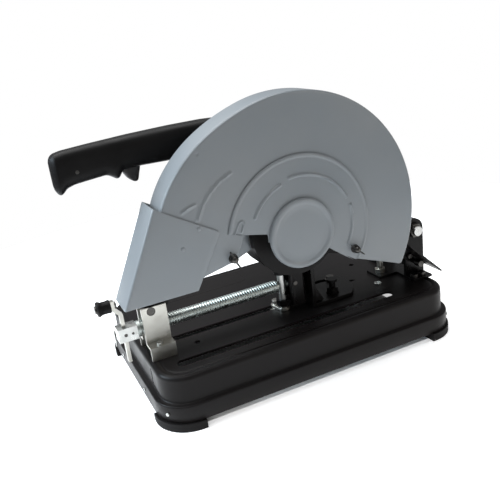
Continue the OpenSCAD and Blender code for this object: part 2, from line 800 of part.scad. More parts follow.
module commutator() color("#b87333") {
    difference() {
        ycyl(motor_x, motor_z, 58, 26, commutator_r);
        ycyl(motor_x, motor_z, 57, 28, 5);
        for (k = [0:11]) translate([motor_x, 57, motor_z]) rotate([0, k * 30, 0])
            translate([commutator_r - 1, 0, -0.4]) cube([3, 28, 0.8]);
    }
}

module motor_fan() color("#303030") {
    difference() {
        union() {
            ycyl(motor_x, motor_z, -32, 3, 44);
            ycyl(motor_x, motor_z, -32, 10, 12);
            for (k = [0:8]) translate([motor_x, -32, motor_z]) rotate([0, k * 40, 0])
                translate([11, 0, -1]) cube([32, 11, 2]);
        }
        ycyl(motor_x, motor_z, -34, 20, 5);
    }
}

// Four sealed bearings: outer ring seats in its housing, inner ring clears its shaft
module bearing(x, z, y0, w, ro, ri) {
    translate([x, y0, z]) rotate([-90, 0, 0]) rotate_extrude() difference() {
        translate([ri + fit, 0]) square([ro - ri - fit, w]);
        translate([(ro + ri) / 2 - (ro - ri) / 5, -1]) square([(ro - ri) / 2.5, 2]);
        translate([(ro + ri) / 2 - (ro - ri) / 5, w - 1]) square([(ro - ri) / 2.5, 2]);
    }
}

module ball_bearings() color("#a9acae") {
    bearing(spindle_x, spindle_z, case_y0 + case_wall, 12, 21, 10);
    bearing(spindle_x, spindle_z, case_y1 - eps, 4, 13, 6);
    bearing(motor_x, motor_z, case_y1 + 2, 9, 16, 5);
    bearing(motor_x, motor_z, motor_y1, 10, 11, 5);
}

gear_y = [-74, -60];
module pinion() color("#8c8f92") {
    xz_plate(gear_y[0], gear_y[1] - gear_y[0]) translate([motor_x, motor_z])
        gear2d(pinion_teeth, 5, motor_a + 180);
}

module spindle_gear() color("#8c8f92") {
    xz_plate(gear_y[0] + 0.5, gear_y[1] - gear_y[0] - 1) translate([spindle_x, spindle_z])
        gear2d(gear_teeth, 9, motor_a + 180 / gear_teeth);
    difference() {
        ycyl(spindle_x, spindle_z, gear_y[0] - 5, 5.5, 18);
        ycyl(spindle_x, spindle_z, gear_y[0] - 6, 8, 9);
    }
}

flange_y = wheel_y + 1.4;
module spindle() color("#9a9d9f") {
    difference() {
        union() {
            ycyl(spindle_x, spindle_z, flange_y + 2, gear_y[0] - 5 - flange_y - 2, 10);
            ycyl(spindle_x, spindle_z, gear_y[0] - 6, -55 - gear_y[0] + 6, 9);
            ycyl(spindle_x, spindle_z, -56, 7, 6);
        }
        ycyl(spindle_x, spindle_z, flange_y + 1, 20, 5 + fit);
    }
}

module inner_flange() color("#6f7274") {
    difference() {
        union() {
            ycyl(spindle_x, spindle_z, flange_y, 6, 36);
            ycyl(spindle_x, spindle_z, flange_y + 5, case_y0 - gap - flange_y - 5, 13);
            ycyl(spindle_x, spindle_z, flange_y - 2.8, 3, 12.7);
        }
        ycyl(spindle_x, spindle_z, flange_y + 2, 40, 10);
        ycyl(spindle_x, spindle_z, flange_y - 10, 40, 5);
    }
}

module outer_flange() color("#6f7274") {
    difference() {
        union() {
            ycyl(spindle_x, spindle_z, flange_y - 6, 6, 36);
            ycyl(spindle_x, spindle_z, flange_y - 9, 4, 16);
        }
        ycyl(spindle_x, spindle_z, flange_y - 2.8, 4, 12.8);
        ycyl(spindle_x, spindle_z, flange_y - 20, 30, 5);
    }
}

module arbor_bolt() color("#55585a") {
    ycyl(spindle_x, spindle_z, flange_y - 10, 28, 5);
    ycyl(spindle_x, spindle_z, flange_y - 11, 2, 11);
    xz_plate(flange_y - 18, 7) translate([spindle_x, spindle_z]) hex(17);
}

// ---- guard

hub = [spindle_x, spindle_z];
guard_heel = [160.4, 128.2];
// Outline of the guard drawn in by k: round, with a straight run at the front
// Radius of the guard against angle: it grows towards the front
guard_swell = [[108, 186], [116, 188.8], [124, 190.9], [132, 194], [140, 197.2], [148, 200],
    [156, 202], [164, 203]];

module guard2d(k) {
    translate(hub) circle(guard_r - k);
    polygon(concat([for (a = [108:4:164]) polar(hub, lookup(a, guard_swell) - k, a)],
        [[-205 - 3 * k, 262], [-205 - 3 * k, 200], hub]));
}

module upper_guard() color("#b4b9bd") {
    difference() {
        union() {
            xz_plate(guard_y0, guard_depth) guard2d(0);
        }
        // wheel space, open at the front
        xz_plate(guard_y0 + guard_t, guard_depth - 2 * guard_t) guard2d(guard_t);
        // everything under the lower edge
        xz_plate(guard_y0 - 1, guard_depth + 2) polygon([[-260, 181], [-152, 197],
            [-107, 207], [-93, 187], [62, 187], [75, 160.4], guard_heel, [230, 101],
            [260, 0], [-260, 0]]);
        // opening of the near side, behind the centre cover
        xz_plate(guard_y0 - 1, guard_t + 2) {
            polygon([[-107, 207], [-92, 236], [-40, 213], [62, 171], [75, 160.4],
                [75, 100], [-107, 100]]);
            translate(hub) circle(84);
        }
        // opening of the far side, round the gear case
        xz_plate(guard_y1 - guard_t - 1, guard_t + 2) {
            translate([case_x, case_z]) circle(case_r);
            translate([case_x - 62, 100]) square([124, 100]);
        }
        ycyl(rear_wing[0], rear_wing[1], guard_y0 - 1, 4, 3 + fit);
        ycyl(front_wing[0], front_wing[1], guard_y0 - 1, 4, 3 + fit);
    }
    // flange that bolts to the gear case
    difference() {
        xz_plate(guard_y1 - guard_t - 5, 5.5) intersection() {
            translate([case_x, case_z]) circle(case_r + 8);
            translate([case_x - 90, case_z + 8]) square([180, 90]);
        }
        ycyl(case_x, case_z, guard_y1 - guard_t - 10, 20, case_r);
    }
}

deflector = [[-204, 300.5], [-121, 254.5], [-163, 181.5], [-261, 181.5]];
defl_y0 = guard_y0 - guard_t;
defl_depth = guard_depth + 2 * guard_t;
module deflector2d() {
    r = 7;
    c = deflector[1] + [-r * 0.9, -r * 0.95];
    difference() {
        polygon([deflector[0], deflector[1] + [-12, 6.7], deflector[1] + [-6, -10.5],
            deflector[2], deflector[3]]);
    }
    translate(deflector[1] + [-9.2, -2.6]) circle(7.2);
}

module front_deflector() color("#aeb6bd") {
    for (y = [defl_y0, defl_y0 + defl_depth - guard_t])
        xz_plate(y, guard_t) deflector2d();
    xz_plate(defl_y0, defl_depth)
        polygon([deflector[0], deflector[3], deflector[3] + [2.3, 0], deflector[0] + [2, -1.1]]);
}

module guard_rivets() color("#9aa0a4") {
    for (p = [[-174.5, 241.4], [-150, 262]], y = [defl_y0 - 1.2, defl_y0 + defl_depth])
        ycyl(p[0], p[1], y, 1.2, 3);
}

cover_r = 108;
cover_y = guard_y0 - guard_t - gap;
rear_wing = [74.8, 176.8];
front_wing = [-110, 211.5];
module cover2d() {
    intersection() {
        translate(hub) circle(cover_r, $fn = 96);
        polygon([[-125, 247], [-104, 242.5], [-53, 232], hub, [31, 193], [73.5, 158.7],
            [88, 164], [140, 175], [140, 400], [-125, 400]]);
    }
    translate(hub) circle(50);
}

module centre_cover() color("#b3b7b9") {
    difference() {
        union() {
            xz_plate(cover_y, guard_t) cover2d();
            ycyl(hub[0], hub[1], cover_y - 8, 9, 48.6);
        }
        ycyl(hub[0], hub[1], cover_y - 6, 20, 46.6);
        ycyl(rear_wing[0], rear_wing[1], cover_y - 5, 10, 3 + fit);
    }
}

// Wing screw: shank, collar, ball hub and two wings along direction a
module wing_screw(p, a, y) {
    ycyl(p[0], p[1], y, -y + guard_y0 + 9, 3);
    ycyl(p[0], p[1], y - 3, 3, 6);
    translate([p[0], y - 2.5, p[1]]) rotate([90, 0, 0]) cylinder(r1 = 5.4, r2 = 3.6, h = 9.9);
    translate([p[0], y - 8, p[1]]) rotate([0, -a, 0])
        translate([-13, -3.5, -1.1]) cube([26, 7, 2.2]);
}

module rear_wing_screw() color("#c9c9c4") {
    wing_screw(rear_wing, -45, cover_y - gap);
}

module front_wing_screw() color("#8d857a") {
    wing_screw(front_wing, -60, guard_y0 - gap);
}

// ---- handle

handle_y = -44;
handle_w = 36;
// Side outline of the handle, with the finger stop in front of the trigger
module handle2d() {
    top = [[-300, 364], [-298, 370], [-293, 374], [-250, 377.5], [-198, 380], [-140, 381.5],
        [-95, 381.5], [-50, 379], [-15, 371], [15, 357], [36, 340], [46, 322], [46, 310]];
    low = [[4, 310], [-14, 316], [-40, 326], [-80, 333], [-145, 337], [-188, 338],
        [-214.2, 336.2], [-217.5, 327.5], [-221, 326.5], [-230.8, 335], [-262, 332], [-288, 327.5], [-292, 322], [-296, 320.5], [-299, 323],
        [-300, 330]];
    polygon(concat(top, low));
}

module handle_cavity2d() {
    offset(delta = -3.5) handle2d();
}

module handle_half(y0, y_in) {
    difference() {
        xz_plate(y0, handle_w / 2) handle2d();
        xz_plate(y_in, handle_w / 2 - 3.5) handle_cavity2d();
        // window for the trigger
        span([-213.5, handle_y - 8, 320], [-186.5, handle_y + 8, 345]);
    }
}

module handle_near_shell() color("#191818") {
    difference() {
        handle_half(handle_y - handle_w / 2, handle_y - handle_w / 2 + 3.5);
        handle_screw_holes();
        handle_foot();
    }
}

module handle_far_shell() color("#1b1a1a") {
    difference() {
        handle_half(handle_y, handle_y - eps);
        handle_screw_holes();
        handle_foot();
        ycyl(-175, 356, handle_y + 8, 14, 5.3);
    }
}

// Pocket in the shells for the tongue of the motor housing
module handle_foot() {
    span([motor_x - 24, -50, 300], [motor_x + 12, -38, motor_z + 74]);
}

screw_xz = [[-270, 348], [-140, 358], [-60, 352], [14.5, 318.5], [34.5, 318.5]];
module handle_screw_holes() {
    for (p = screw_xz) ycyl(p[0], p[1], handle_y - 30, 60, 2.5);
    for (p = screw_xz) ycyl(p[0], p[1], handle_y + handle_w / 2 - 3, 10, 4.5);
}

module handle_screws() color("#6f7070") {
    for (p = screw_xz) {
        ycyl(p[0], p[1], handle_y - handle_w / 2 + 2, handle_w - 5, 2.5);
        difference() {
            ycyl(p[0], p[1], handle_y + handle_w / 2 - 3, 2.6, 4.3);
            span([p[0] - 3, handle_y + handle_w / 2 - 1.4, p[1] - 0.6],
                [p[0] + 3, handle_y + handle_w / 2 + 1, p[1] + 0.6]);
        }
    }
}

module trigger() color("#241f1c") {
    xz_plate(handle_y - 7, 14) polygon([[-212, 352], [-212, 333], [-209, 326], [-203, 321],
        [-197, 318.5], [-193, 320], [-191, 325], [-190, 331], [-187.5, 336], [-187.5, 352]]);
}

module lock_button() color("#3a1512") {
    ycyl(-175, 356, handle_y + 6, 16, 5);
    ycyl(-175, 356, handle_y + 5, 5, 6.5);
}

base_shell();
feet();
base_fasteners();
rear_bracket();
bracket_bolts();
pivot_shaft();
pivot_nuts();
return_spring();
depth_stop_bolt();
head_lock_pin();
rear_spark_flap();
flap_bolt();
vise_bracket_near();
vise_bracket_far();
bracket_screws();
half_nut();
half_nut_pin();
vise_screw();
screw_collar();
crank_hub();
crank_arm();
crank_pins();
crank_grip();
jaw_pin();
pin_snap_ring();
jaw_guide();
vise_jaw();
jaw_screw();
fence();
fence_pivot_bolt();
fence_clamp_bolt();
gear_case();
pivot_bushes();
motor_housing();
motor_end_cap();
motor_screws();
brush_caps();
brushes();
stator();
armature();
commutator();
motor_fan();
ball_bearings();
pinion();
spindle_gear();
spindle();
inner_flange();
outer_flange();
arbor_bolt();
upper_guard();
front_deflector();
guard_rivets();
centre_cover();
rear_wing_screw();
front_wing_screw();
handle_near_shell();
handle_far_shell();
handle_screws();
trigger();
lock_button();
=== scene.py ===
"""Abrasive chop saw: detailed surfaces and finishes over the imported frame.

Lengths inside the classes are millimetres in the row frame (+X to the rear,
+Y from the wheel side to the motor side, +Z up); meshes are made in metres.
"""

import json
import logging
import math
from dataclasses import dataclass, field
from enum import Enum
from typing import Optional, Sequence

import bmesh
import bpy
import numpy as np
from mathutils import Matrix, Vector

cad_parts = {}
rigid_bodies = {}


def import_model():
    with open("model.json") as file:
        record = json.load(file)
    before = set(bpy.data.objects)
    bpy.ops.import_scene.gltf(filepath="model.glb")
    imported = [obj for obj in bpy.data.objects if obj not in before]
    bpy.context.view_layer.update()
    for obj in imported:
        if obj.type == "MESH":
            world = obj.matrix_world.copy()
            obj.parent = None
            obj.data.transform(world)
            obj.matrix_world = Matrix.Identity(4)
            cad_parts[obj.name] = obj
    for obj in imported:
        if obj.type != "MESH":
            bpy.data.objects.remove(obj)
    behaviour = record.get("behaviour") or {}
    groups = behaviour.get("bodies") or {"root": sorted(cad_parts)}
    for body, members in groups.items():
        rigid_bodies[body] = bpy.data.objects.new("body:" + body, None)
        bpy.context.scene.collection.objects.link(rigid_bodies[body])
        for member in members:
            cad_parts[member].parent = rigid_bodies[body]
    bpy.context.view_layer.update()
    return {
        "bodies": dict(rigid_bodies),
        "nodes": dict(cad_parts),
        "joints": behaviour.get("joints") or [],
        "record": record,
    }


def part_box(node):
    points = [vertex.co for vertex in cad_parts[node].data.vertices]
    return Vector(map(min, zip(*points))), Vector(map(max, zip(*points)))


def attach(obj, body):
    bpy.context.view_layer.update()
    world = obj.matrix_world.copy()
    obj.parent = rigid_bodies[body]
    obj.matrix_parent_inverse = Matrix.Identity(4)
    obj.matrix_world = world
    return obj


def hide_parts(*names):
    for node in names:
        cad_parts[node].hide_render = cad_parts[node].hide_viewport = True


LOG = logging.getLogger("chop_saw")
MM = 0.001
TAU = 2.0 * math.pi
SHARP_DEG = 38.0      # edges that turn more than this stay sharp
Array = np.ndarray


# --------------------------------------------------------------------------
# surfaces


def smooth_step(x: Array, low: float, high: float) -> Array:
    """Cubic ramp from 0 at low to 1 at high.

    Args:
        x: Values to map.
        low: Where the ramp starts.
        high: Where the ramp ends.

    Returns:
        3t^2 - 2t^3 of the clipped fraction t.
    """
    t = np.clip((x - low) / (high - low), 0.0, 1.0)
    return t * t * (3.0 - 2.0 * t)


def relaxed(values: Array, rounds: int) -> Array:
    """Evens out a row of numbers or points, with both ends held.

    Args:
        values: What to even out; it is changed in place.
        rounds: How often each entry moves towards its neighbours.

    Returns:
        The same array.
    """
    for _ in range(rounds):
        values[1:-1] = (values[:-2] + 2 * values[1:-1] + values[2:]) / 4
    return values


def superellipse(angles: Array, exponent: float) -> tuple[Array, Array]:
    """Unit superellipse at the given angles.

    Args:
        angles: Radians.
        exponent: 2 is a circle, more is squarer.

    Returns:
        Cosine-like and sine-like parts.
    """
    power = 2.0 / exponent
    cs, sn = np.cos(angles), np.sin(angles)
    return np.sign(cs) * np.abs(cs) ** power, np.sign(sn) * np.abs(sn) ** power


def placed(name: str, data: bpy.types.ID) -> bpy.types.Object:
    """Puts new data into the scene.

    Args:
        name: Object name.
        data: Mesh, camera or light.

    Returns:
        The new object.
    """
    obj = bpy.data.objects.new(name, data)
    bpy.context.scene.collection.objects.link(obj)
    return obj


def shade_smooth(mesh: bpy.types.Mesh, sharp_deg: float = SHARP_DEG) -> None:
    """Shades a mesh smooth but for its sharp edges.

    Args:
        mesh: The mesh.
        sharp_deg: Edges over this angle stay sharp.
    """
    mesh.polygons.foreach_set("use_smooth", np.ones(len(mesh.polygons), bool))
    mesh.set_sharp_from_angle(angle=math.radians(sharp_deg))


def grid_faces(rows: int, cols: int, wrap_rows: bool, wrap_cols: bool) -> Array:
    """Quads of a rows by cols grid of points.

    Args:
        rows: Points along the first parameter.
        cols: Points along the second parameter.
        wrap_rows: Join the last row to the first.
        wrap_cols: Join the last column to the first.

    Returns:
        An (n, 4) array of point numbers.
    """
    i = np.arange(rows if wrap_rows else rows - 1)[:, None]
    j = np.arange(cols if wrap_cols else cols - 1)[None, :]
    i1, j1 = (i + 1) % rows, (j + 1) % cols
    quads = np.stack([i * cols + j, i * cols + j1, i1 * cols + j1, i1 * cols + j], -1)
    return quads.reshape(-1, 4)


@dataclass
class Surface:
    """Points and faces of one piece, in millimetres.

    Attributes:
        points: (n, 3) array.
        faces: Rings of point numbers, each a list.
    """

    points: Array = field(default_factory=lambda: np.zeros((0, 3)))
    faces: list[list[int]] = field(default_factory=list)

    def add(self, points: Array, faces: Sequence[Sequence[int]]) -> "Surface":
        """Appends points and the faces that use them.

        Args:
            points: (n, 3) array.
            faces: Faces numbered from 0 within points.

        Returns:
            This surface.
        """
        base = len(self.points)
        self.points = np.vstack([self.points, np.asarray(points, float).reshape(-1, 3)])
        self.faces += [[base + int(k) for k in f] for f in faces]
        return self

    def grid(self, pts: Array, wrap_rows: bool = False, wrap_cols: bool = False,
             caps: bool = False) -> "Surface":
        """Adds a grid of points, with a point fan over each open end if asked.

        Args:
            pts: (rows, cols, 3) array.
            wrap_rows: Join the last row to the first.
            wrap_cols: Join the last column to the first.
            caps: Close the first and last rows towards their mean points.

        Returns:
            This surface.
        """
        rows, cols = pts.shape[:2]
        faces = grid_faces(rows, cols, wrap_rows, wrap_cols).tolist()
        flat = pts.reshape(-1, 3)
        if caps:
            n = len(flat)
            flat = np.vstack([flat, pts[0].mean(0), pts[-1].mean(0)])
            j = np.arange(cols)
            k = (j + 1) % cols
            last = (rows - 1) * cols
            faces += np.stack([np.full(cols, n), k, j], -1).tolist()
            faces += np.stack([np.full(cols, n + 1), last + j, last + k], -1).tolist()
        return self.add(flat, faces)

    def lathe(self, profile: Sequence[Sequence[float]], origin: Sequence[float],
              axis: str, steps: int = 48) -> "Surface":
        """Adds a round piece: a profile (distance along axis, radius) turned once.

        Args:
            profile: Points along the outline, from one end to the other.
            origin: Point on the axis that distance 0 means.
            axis: X, Y or Z.
            steps: Points round the axis.

        Returns:
            This surface.
        """
        prof = np.asarray(profile, float)
        a = np.linspace(0.0, TAU, steps, endpoint=False)
        along = np.repeat(prof[:, :1], steps, 1)
        c, s = prof[:, 1:] * np.cos(a), prof[:, 1:] * np.sin(a)
        order = {"X": (along, c, s), "Y": (s, along, c), "Z": (c, s, along)}[axis]
        return self.grid(np.stack(order, -1) + np.asarray(origin, float),
                         wrap_cols=True, caps=True)

    def tube(self, path: Array, radius: float, steps: int = 12,
             flat: float = 1.0) -> "Surface":
        """Adds a wire or bead: a circle carried along a path by parallel frames.

        Args:
            path: (n, 3) points along the middle of the wire.
            radius: Radius of the wire.
            steps: Points round the wire.
            flat: Height of the section over its width.

        Returns:
            This surface.
        """
        p = np.asarray(path, float)
        d = np.gradient(p, axis=0)
        d /= np.linalg.norm(d, axis=1)[:, None]
        up = np.array([0.0, 0.0, 1.0]) if abs(d[0, 2]) < 0.9 else np.array([0.0, 1.0, 0.0])
        side = np.cross(d, up)
        side /= np.linalg.norm(side, axis=1)[:, None]
        top = np.cross(side, d)
        a = np.linspace(0.0, TAU, steps, endpoint=False)
        ring = (side[:, None] * np.cos(a)[None, :, None]
                + flat * top[:, None] * np.sin(a)[None, :, None])
        return self.grid(p[:, None] + radius * ring, wrap_cols=True, caps=True)

    def make(self, name: str, body: str, finish: bpy.types.Material,
             replaces: Sequence[str] = (), sharp_deg: float = SHARP_DEG,
             closed: bool = True, outward: Optional[Vector] = None) -> bpy.types.Object:
        """Turns the surface into an object that rides on a body.

        Args:
            name: Object name.
            body: Body that it rides on.
            finish: Material.
            replaces: CAD nodes that it stands for.
            sharp_deg: Edges over this angle stay sharp.
            closed: True for a closed solid, whose faces are turned outward.
            outward: For an open sheet, roughly the way its first face looks.

        Returns:
            The new object.
        """
        mesh = bpy.data.meshes.new(name)
        mesh.from_pydata((self.points * MM).tolist(), [], self.faces)
        tidy = bmesh.new()
        tidy.from_mesh(mesh)
        bmesh.ops.remove_doubles(tidy, verts=tidy.verts, dist=1e-6)
        if closed:
            bmesh.ops.recalc_face_normals(tidy, faces=tidy.faces)
        elif outward is not None:
            tidy.faces.ensure_lookup_table()
            tidy.normal_update()
            if tidy.faces[0].normal.dot(outward) < 0.0:
                bmesh.ops.reverse_faces(tidy, faces=tidy.faces)
        tidy.to_mesh(mesh)
        tidy.free()
        shade_smooth(mesh, sharp_deg)
        obj = placed(name, mesh)
        mesh.materials.append(finish)
        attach(obj, body)
        if replaces:
            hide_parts(*replaces)
        LOG.info("%s on %s: %d faces", name, body, len(mesh.polygons))
        return obj


def thicken(obj: bpy.types.Object, thickness: float) -> bpy.types.Object:
    """Gives an open sheet its thickness, behind its outer face.

    Args:
        obj: The sheet.
        thickness: Millimetres.

    Returns:
        The same object.
    """
    wall = obj.modifiers.new("wall", "SOLIDIFY")
    wall.thickness = thickness * MM
    wall.offset = -1.0
    return obj


def cut(obj: bpy.types.Object, cutters: Sequence[bpy.types.Object]) -> None:
    """Cuts closed shapes out of a closed piece and removes the shapes.

    Args:
        obj: Piece to cut.
        cutters: Closed shapes.
    """
    for tool in cutters:
        mod = obj.modifiers.new("cut", "BOOLEAN")
        mod.operation = "DIFFERENCE"
        mod.solver = "EXACT"
        mod.object = tool
    depsgraph = bpy.context.evaluated_depsgraph_get()
    solid = bpy.data.meshes.new_from_object(obj.evaluated_get(depsgraph))
    obj.modifiers.clear()
    old, obj.data = obj.data, solid
    bpy.data.meshes.remove(old)
    for tool in cutters:
        bpy.data.objects.remove(tool)


def prism(outline: Array, z0: float, z1: float) -> bpy.types.Object:
    """A plain upright cutter between two heights; it is removed once used.

    Args:
        outline: (n, 2) points in X and Y.
        z0: Lower height.
        z1: Upper height.

    Returns:
        The cutter.
    """
    ring = np.stack([np.column_stack([outline, np.full(len(outline), z)])
                     for z in (z0, z1)])
    part = Surface().grid(ring, wrap_cols=True, caps=True)
    mesh = bpy.data.meshes.new("cutter")
    mesh.from_pydata((part.points * MM).tolist(), [], part.faces)
    tidy = bmesh.new()
    tidy.from_mesh(mesh)
    bmesh.ops.recalc_face_normals(tidy, faces=tidy.faces)
    tidy.to_mesh(mesh)
    tidy.free()
    return placed("cutter", mesh)


def slot_outline(x0: float, x1: float, y: float, width: float, steps: int = 16) -> Array:
    """Outline of a slot along X with round ends; equal ends make a round hole.

    Args:
        x0: First end.
        x1: Last end.
        y: Middle line.
        width: Width of the slot.
        steps: Points round each end.

    Returns:
        (n, 2) points.
    """
    r = width / 2.0
    a = np.linspace(-math.pi / 2, math.pi / 2, steps)
    right = np.column_stack([x1 - r + r * np.cos(a), y + r * np.sin(a)])
    left = np.column_stack([x0 + r - r * np.cos(a), y - r * np.sin(a)])
    return np.vstack([right, left])


def rounded_rect(length: float, width: float, radius: float, corner: int = 14,
                 side: int = 10) -> Array:
    """Rounded rectangle with evenly shared points, so that rings match.

    Args:
        length: Along X.
        width: Along Y.
        radius: Of the corners.
        corner: Points on each corner.
        side: Extra points on each straight side.

    Returns:
        (n, 2) points.
    """
    a = np.linspace(0.0, math.pi / 2, corner)
    ring = []
    for k, (sx, sy) in enumerate([(1, 1), (-1, 1), (-1, -1), (1, -1)]):
        c = np.array([sx * (length / 2 - radius), sy * (width / 2 - radius)])
        ring.append(c + radius * np.column_stack([np.cos(a + k * math.pi / 2),
                                                  np.sin(a + k * math.pi / 2)]))
    joined = []
    for k in range(4):
        joined.append(ring[k])
        start, end = ring[k][-1], ring[(k + 1) % 4][0]
        t = np.linspace(0, 1, side + 2)[1:-1, None]
        joined.append(start + (end - start) * t)
    return np.vstack(joined)


def refined(frame: dict, node: str, body: str, finish: bpy.types.Material,
            bevel: float = 0.5, segments: int = 2) -> bpy.types.Object:
    """A copy of a CAD node with merged flats and softened edges, standing for it.

    Args:
        node: CAD node.
        body: Body that the node rides on.
        finish: Material.
        bevel: Width of the softened edges in millimetres.
        segments: Steps across each softened edge.

    Returns:
        The new object.
    """
    mesh = frame["nodes"][node].data.copy()
    tidy = bmesh.new()
    tidy.from_mesh(mesh)
    bmesh.ops.remove_doubles(tidy, verts=tidy.verts, dist=2e-6)
    bmesh.ops.dissolve_limit(tidy, angle_limit=math.radians(0.6), verts=tidy.verts,
                             edges=tidy.edges)
    tidy.to_mesh(mesh)
    tidy.free()
    shade_smooth(mesh)
    obj = placed(node + "_finished", mesh)
    mesh.materials.clear()
    mesh.materials.append(finish)
    if bevel > 0.0:
        soft = obj.modifiers.new("soft_edges", "BEVEL")
        soft.width = bevel * MM
        soft.segments = segments
        soft.limit_method = "ANGLE"
        soft.angle_limit = math.radians(SHARP_DEG)
        soft.harden_normals = True
        soft.use_clamp_overlap = True
    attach(obj, body)
    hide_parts(node)
    LOG.info("%s softened by %.1f mm", node, bevel)
    return obj


# --------------------------------------------------------------------------
# finishes


class Texture(Enum):
    """The kinds of fine surface that the finishes use."""

    SMOOTH_ENAMEL = "smooth_enamel"
    POWDER_COAT = "powder_coat"
    PLATED = "plated"
    BRUSHED = "brushed"
    CAST = "cast"
    MOULDED = "moulded"


@dataclass(frozen=True)
class Finish:
    """One finish.

    Attributes:
        name: Material name.
        texture: Kind of fine surface.
        colour: Main colour, linear.
        tint: Colour of the patches.
        roughness: Mean roughness.
        metallic: 0 or 1.
        grain: Size of the grain in millimetres.
        depth: Depth of the grain in millimetres.
        patch: Size of the tone patches in millimetres.
        amount: Strength of the patches.
        coat: Clear coat weight.
        gloss: Specular level; 0.5 is plain dielectric.
    """

    name: str
    texture: Texture
    colour: tuple[float, float, float]
    tint: tuple[float, float, float]
    roughness: float
    metallic: float = 0.0
    grain: float = 1.0
    depth: float = 0.02
    patch: float = 40.0
    amount: float = 0.4
    coat: float = 0.0
    gloss: float = 0.5


FINISHES: tuple[Finish, ...] = (
    Finish("base_enamel", Texture.POWDER_COAT, (0.0070, 0.0058, 0.0058),
           (0.0105, 0.0090, 0.0088), 0.40, 0.0, 1.3, 0.045, 70.0, 0.5, 0.0, 0.13),
    Finish("black_steel", Texture.POWDER_COAT, (0.0045, 0.0040, 0.0040),
           (0.008, 0.007, 0.007), 0.34, 0.0, 1.1, 0.04, 40.0, 0.5, 0.0, 0.14),
    Finish("cast_black", Texture.CAST, (0.005, 0.0045, 0.0045),
           (0.009, 0.008, 0.008), 0.38, 0.0, 1.8, 0.07, 35.0, 0.55, 0.0, 0.14),
    Finish("grey_enamel", Texture.SMOOTH_ENAMEL, (0.200, 0.222, 0.240),
           (0.232, 0.243, 0.250), 0.36, 0.0, 0.9, 0.012, 160.0, 0.6, 0.15, 0.4),
    Finish("zinc", Texture.PLATED, (0.55, 0.56, 0.54), (0.48, 0.48, 0.46),
           0.30, 1.0, 0.7, 0.01, 14.0, 0.4),
    Finish("zinc_plate", Texture.PLATED, (0.47, 0.46, 0.42), (0.53, 0.52, 0.48),
           0.36, 1.0, 0.9, 0.01, 22.0, 0.45),
    Finish("zinc_screw", Texture.PLATED, (0.44, 0.48, 0.46), (0.38, 0.41, 0.39),
           0.38, 1.0, 0.6, 0.008, 12.0, 0.4),
    Finish("dark_fastener", Texture.PLATED, (0.07, 0.068, 0.065), (0.13, 0.12, 0.11),
           0.34, 1.0, 0.6, 0.012, 8.0, 0.5),
    Finish("ground_steel", Texture.BRUSHED, (0.52, 0.52, 0.51), (0.42, 0.42, 0.41),
           0.26, 1.0, 0.5, 0.012, 20.0, 0.5),
    Finish("spring_steel", Texture.BRUSHED, (0.17, 0.17, 0.18), (0.28, 0.27, 0.25),
           0.32, 1.0, 0.4, 0.01, 10.0, 0.5),
    Finish("bronze", Texture.BRUSHED, (0.50, 0.33, 0.14), (0.38, 0.24, 0.10),
           0.33, 1.0, 0.5, 0.01, 12.0, 0.5),
    Finish("copper", Texture.BRUSHED, (0.62, 0.28, 0.15), (0.40, 0.17, 0.09),
           0.28, 1.0, 0.4, 0.01, 10.0, 0.5),
    Finish("carbon", Texture.MOULDED, (0.030, 0.030, 0.030), (0.05, 0.05, 0.05),
           0.55, 0.0, 0.6, 0.02, 8.0, 0.4),
    Finish("black_plastic", Texture.MOULDED, (0.0050, 0.0046, 0.0046),
           (0.0085, 0.0080, 0.0080), 0.44, 0.0, 0.8, 0.035, 60.0, 0.4, 0.0, 0.13),
    Finish("black_rubber", Texture.MOULDED, (0.0070, 0.0062, 0.0062),
           (0.013, 0.012, 0.012), 0.62, 0.0, 1.0, 0.05, 18.0, 0.5, 0.0, 0.13),
    Finish("trigger_plastic", Texture.MOULDED, (0.016, 0.013, 0.012),
           (0.026, 0.022, 0.020), 0.40, 0.0, 0.6, 0.02, 10.0, 0.4),
    Finish("button_plastic", Texture.MOULDED, (0.16, 0.014, 0.010),
           (0.20, 0.020, 0.014), 0.32, 0.0, 0.6, 0.012, 10.0, 0.3),
)


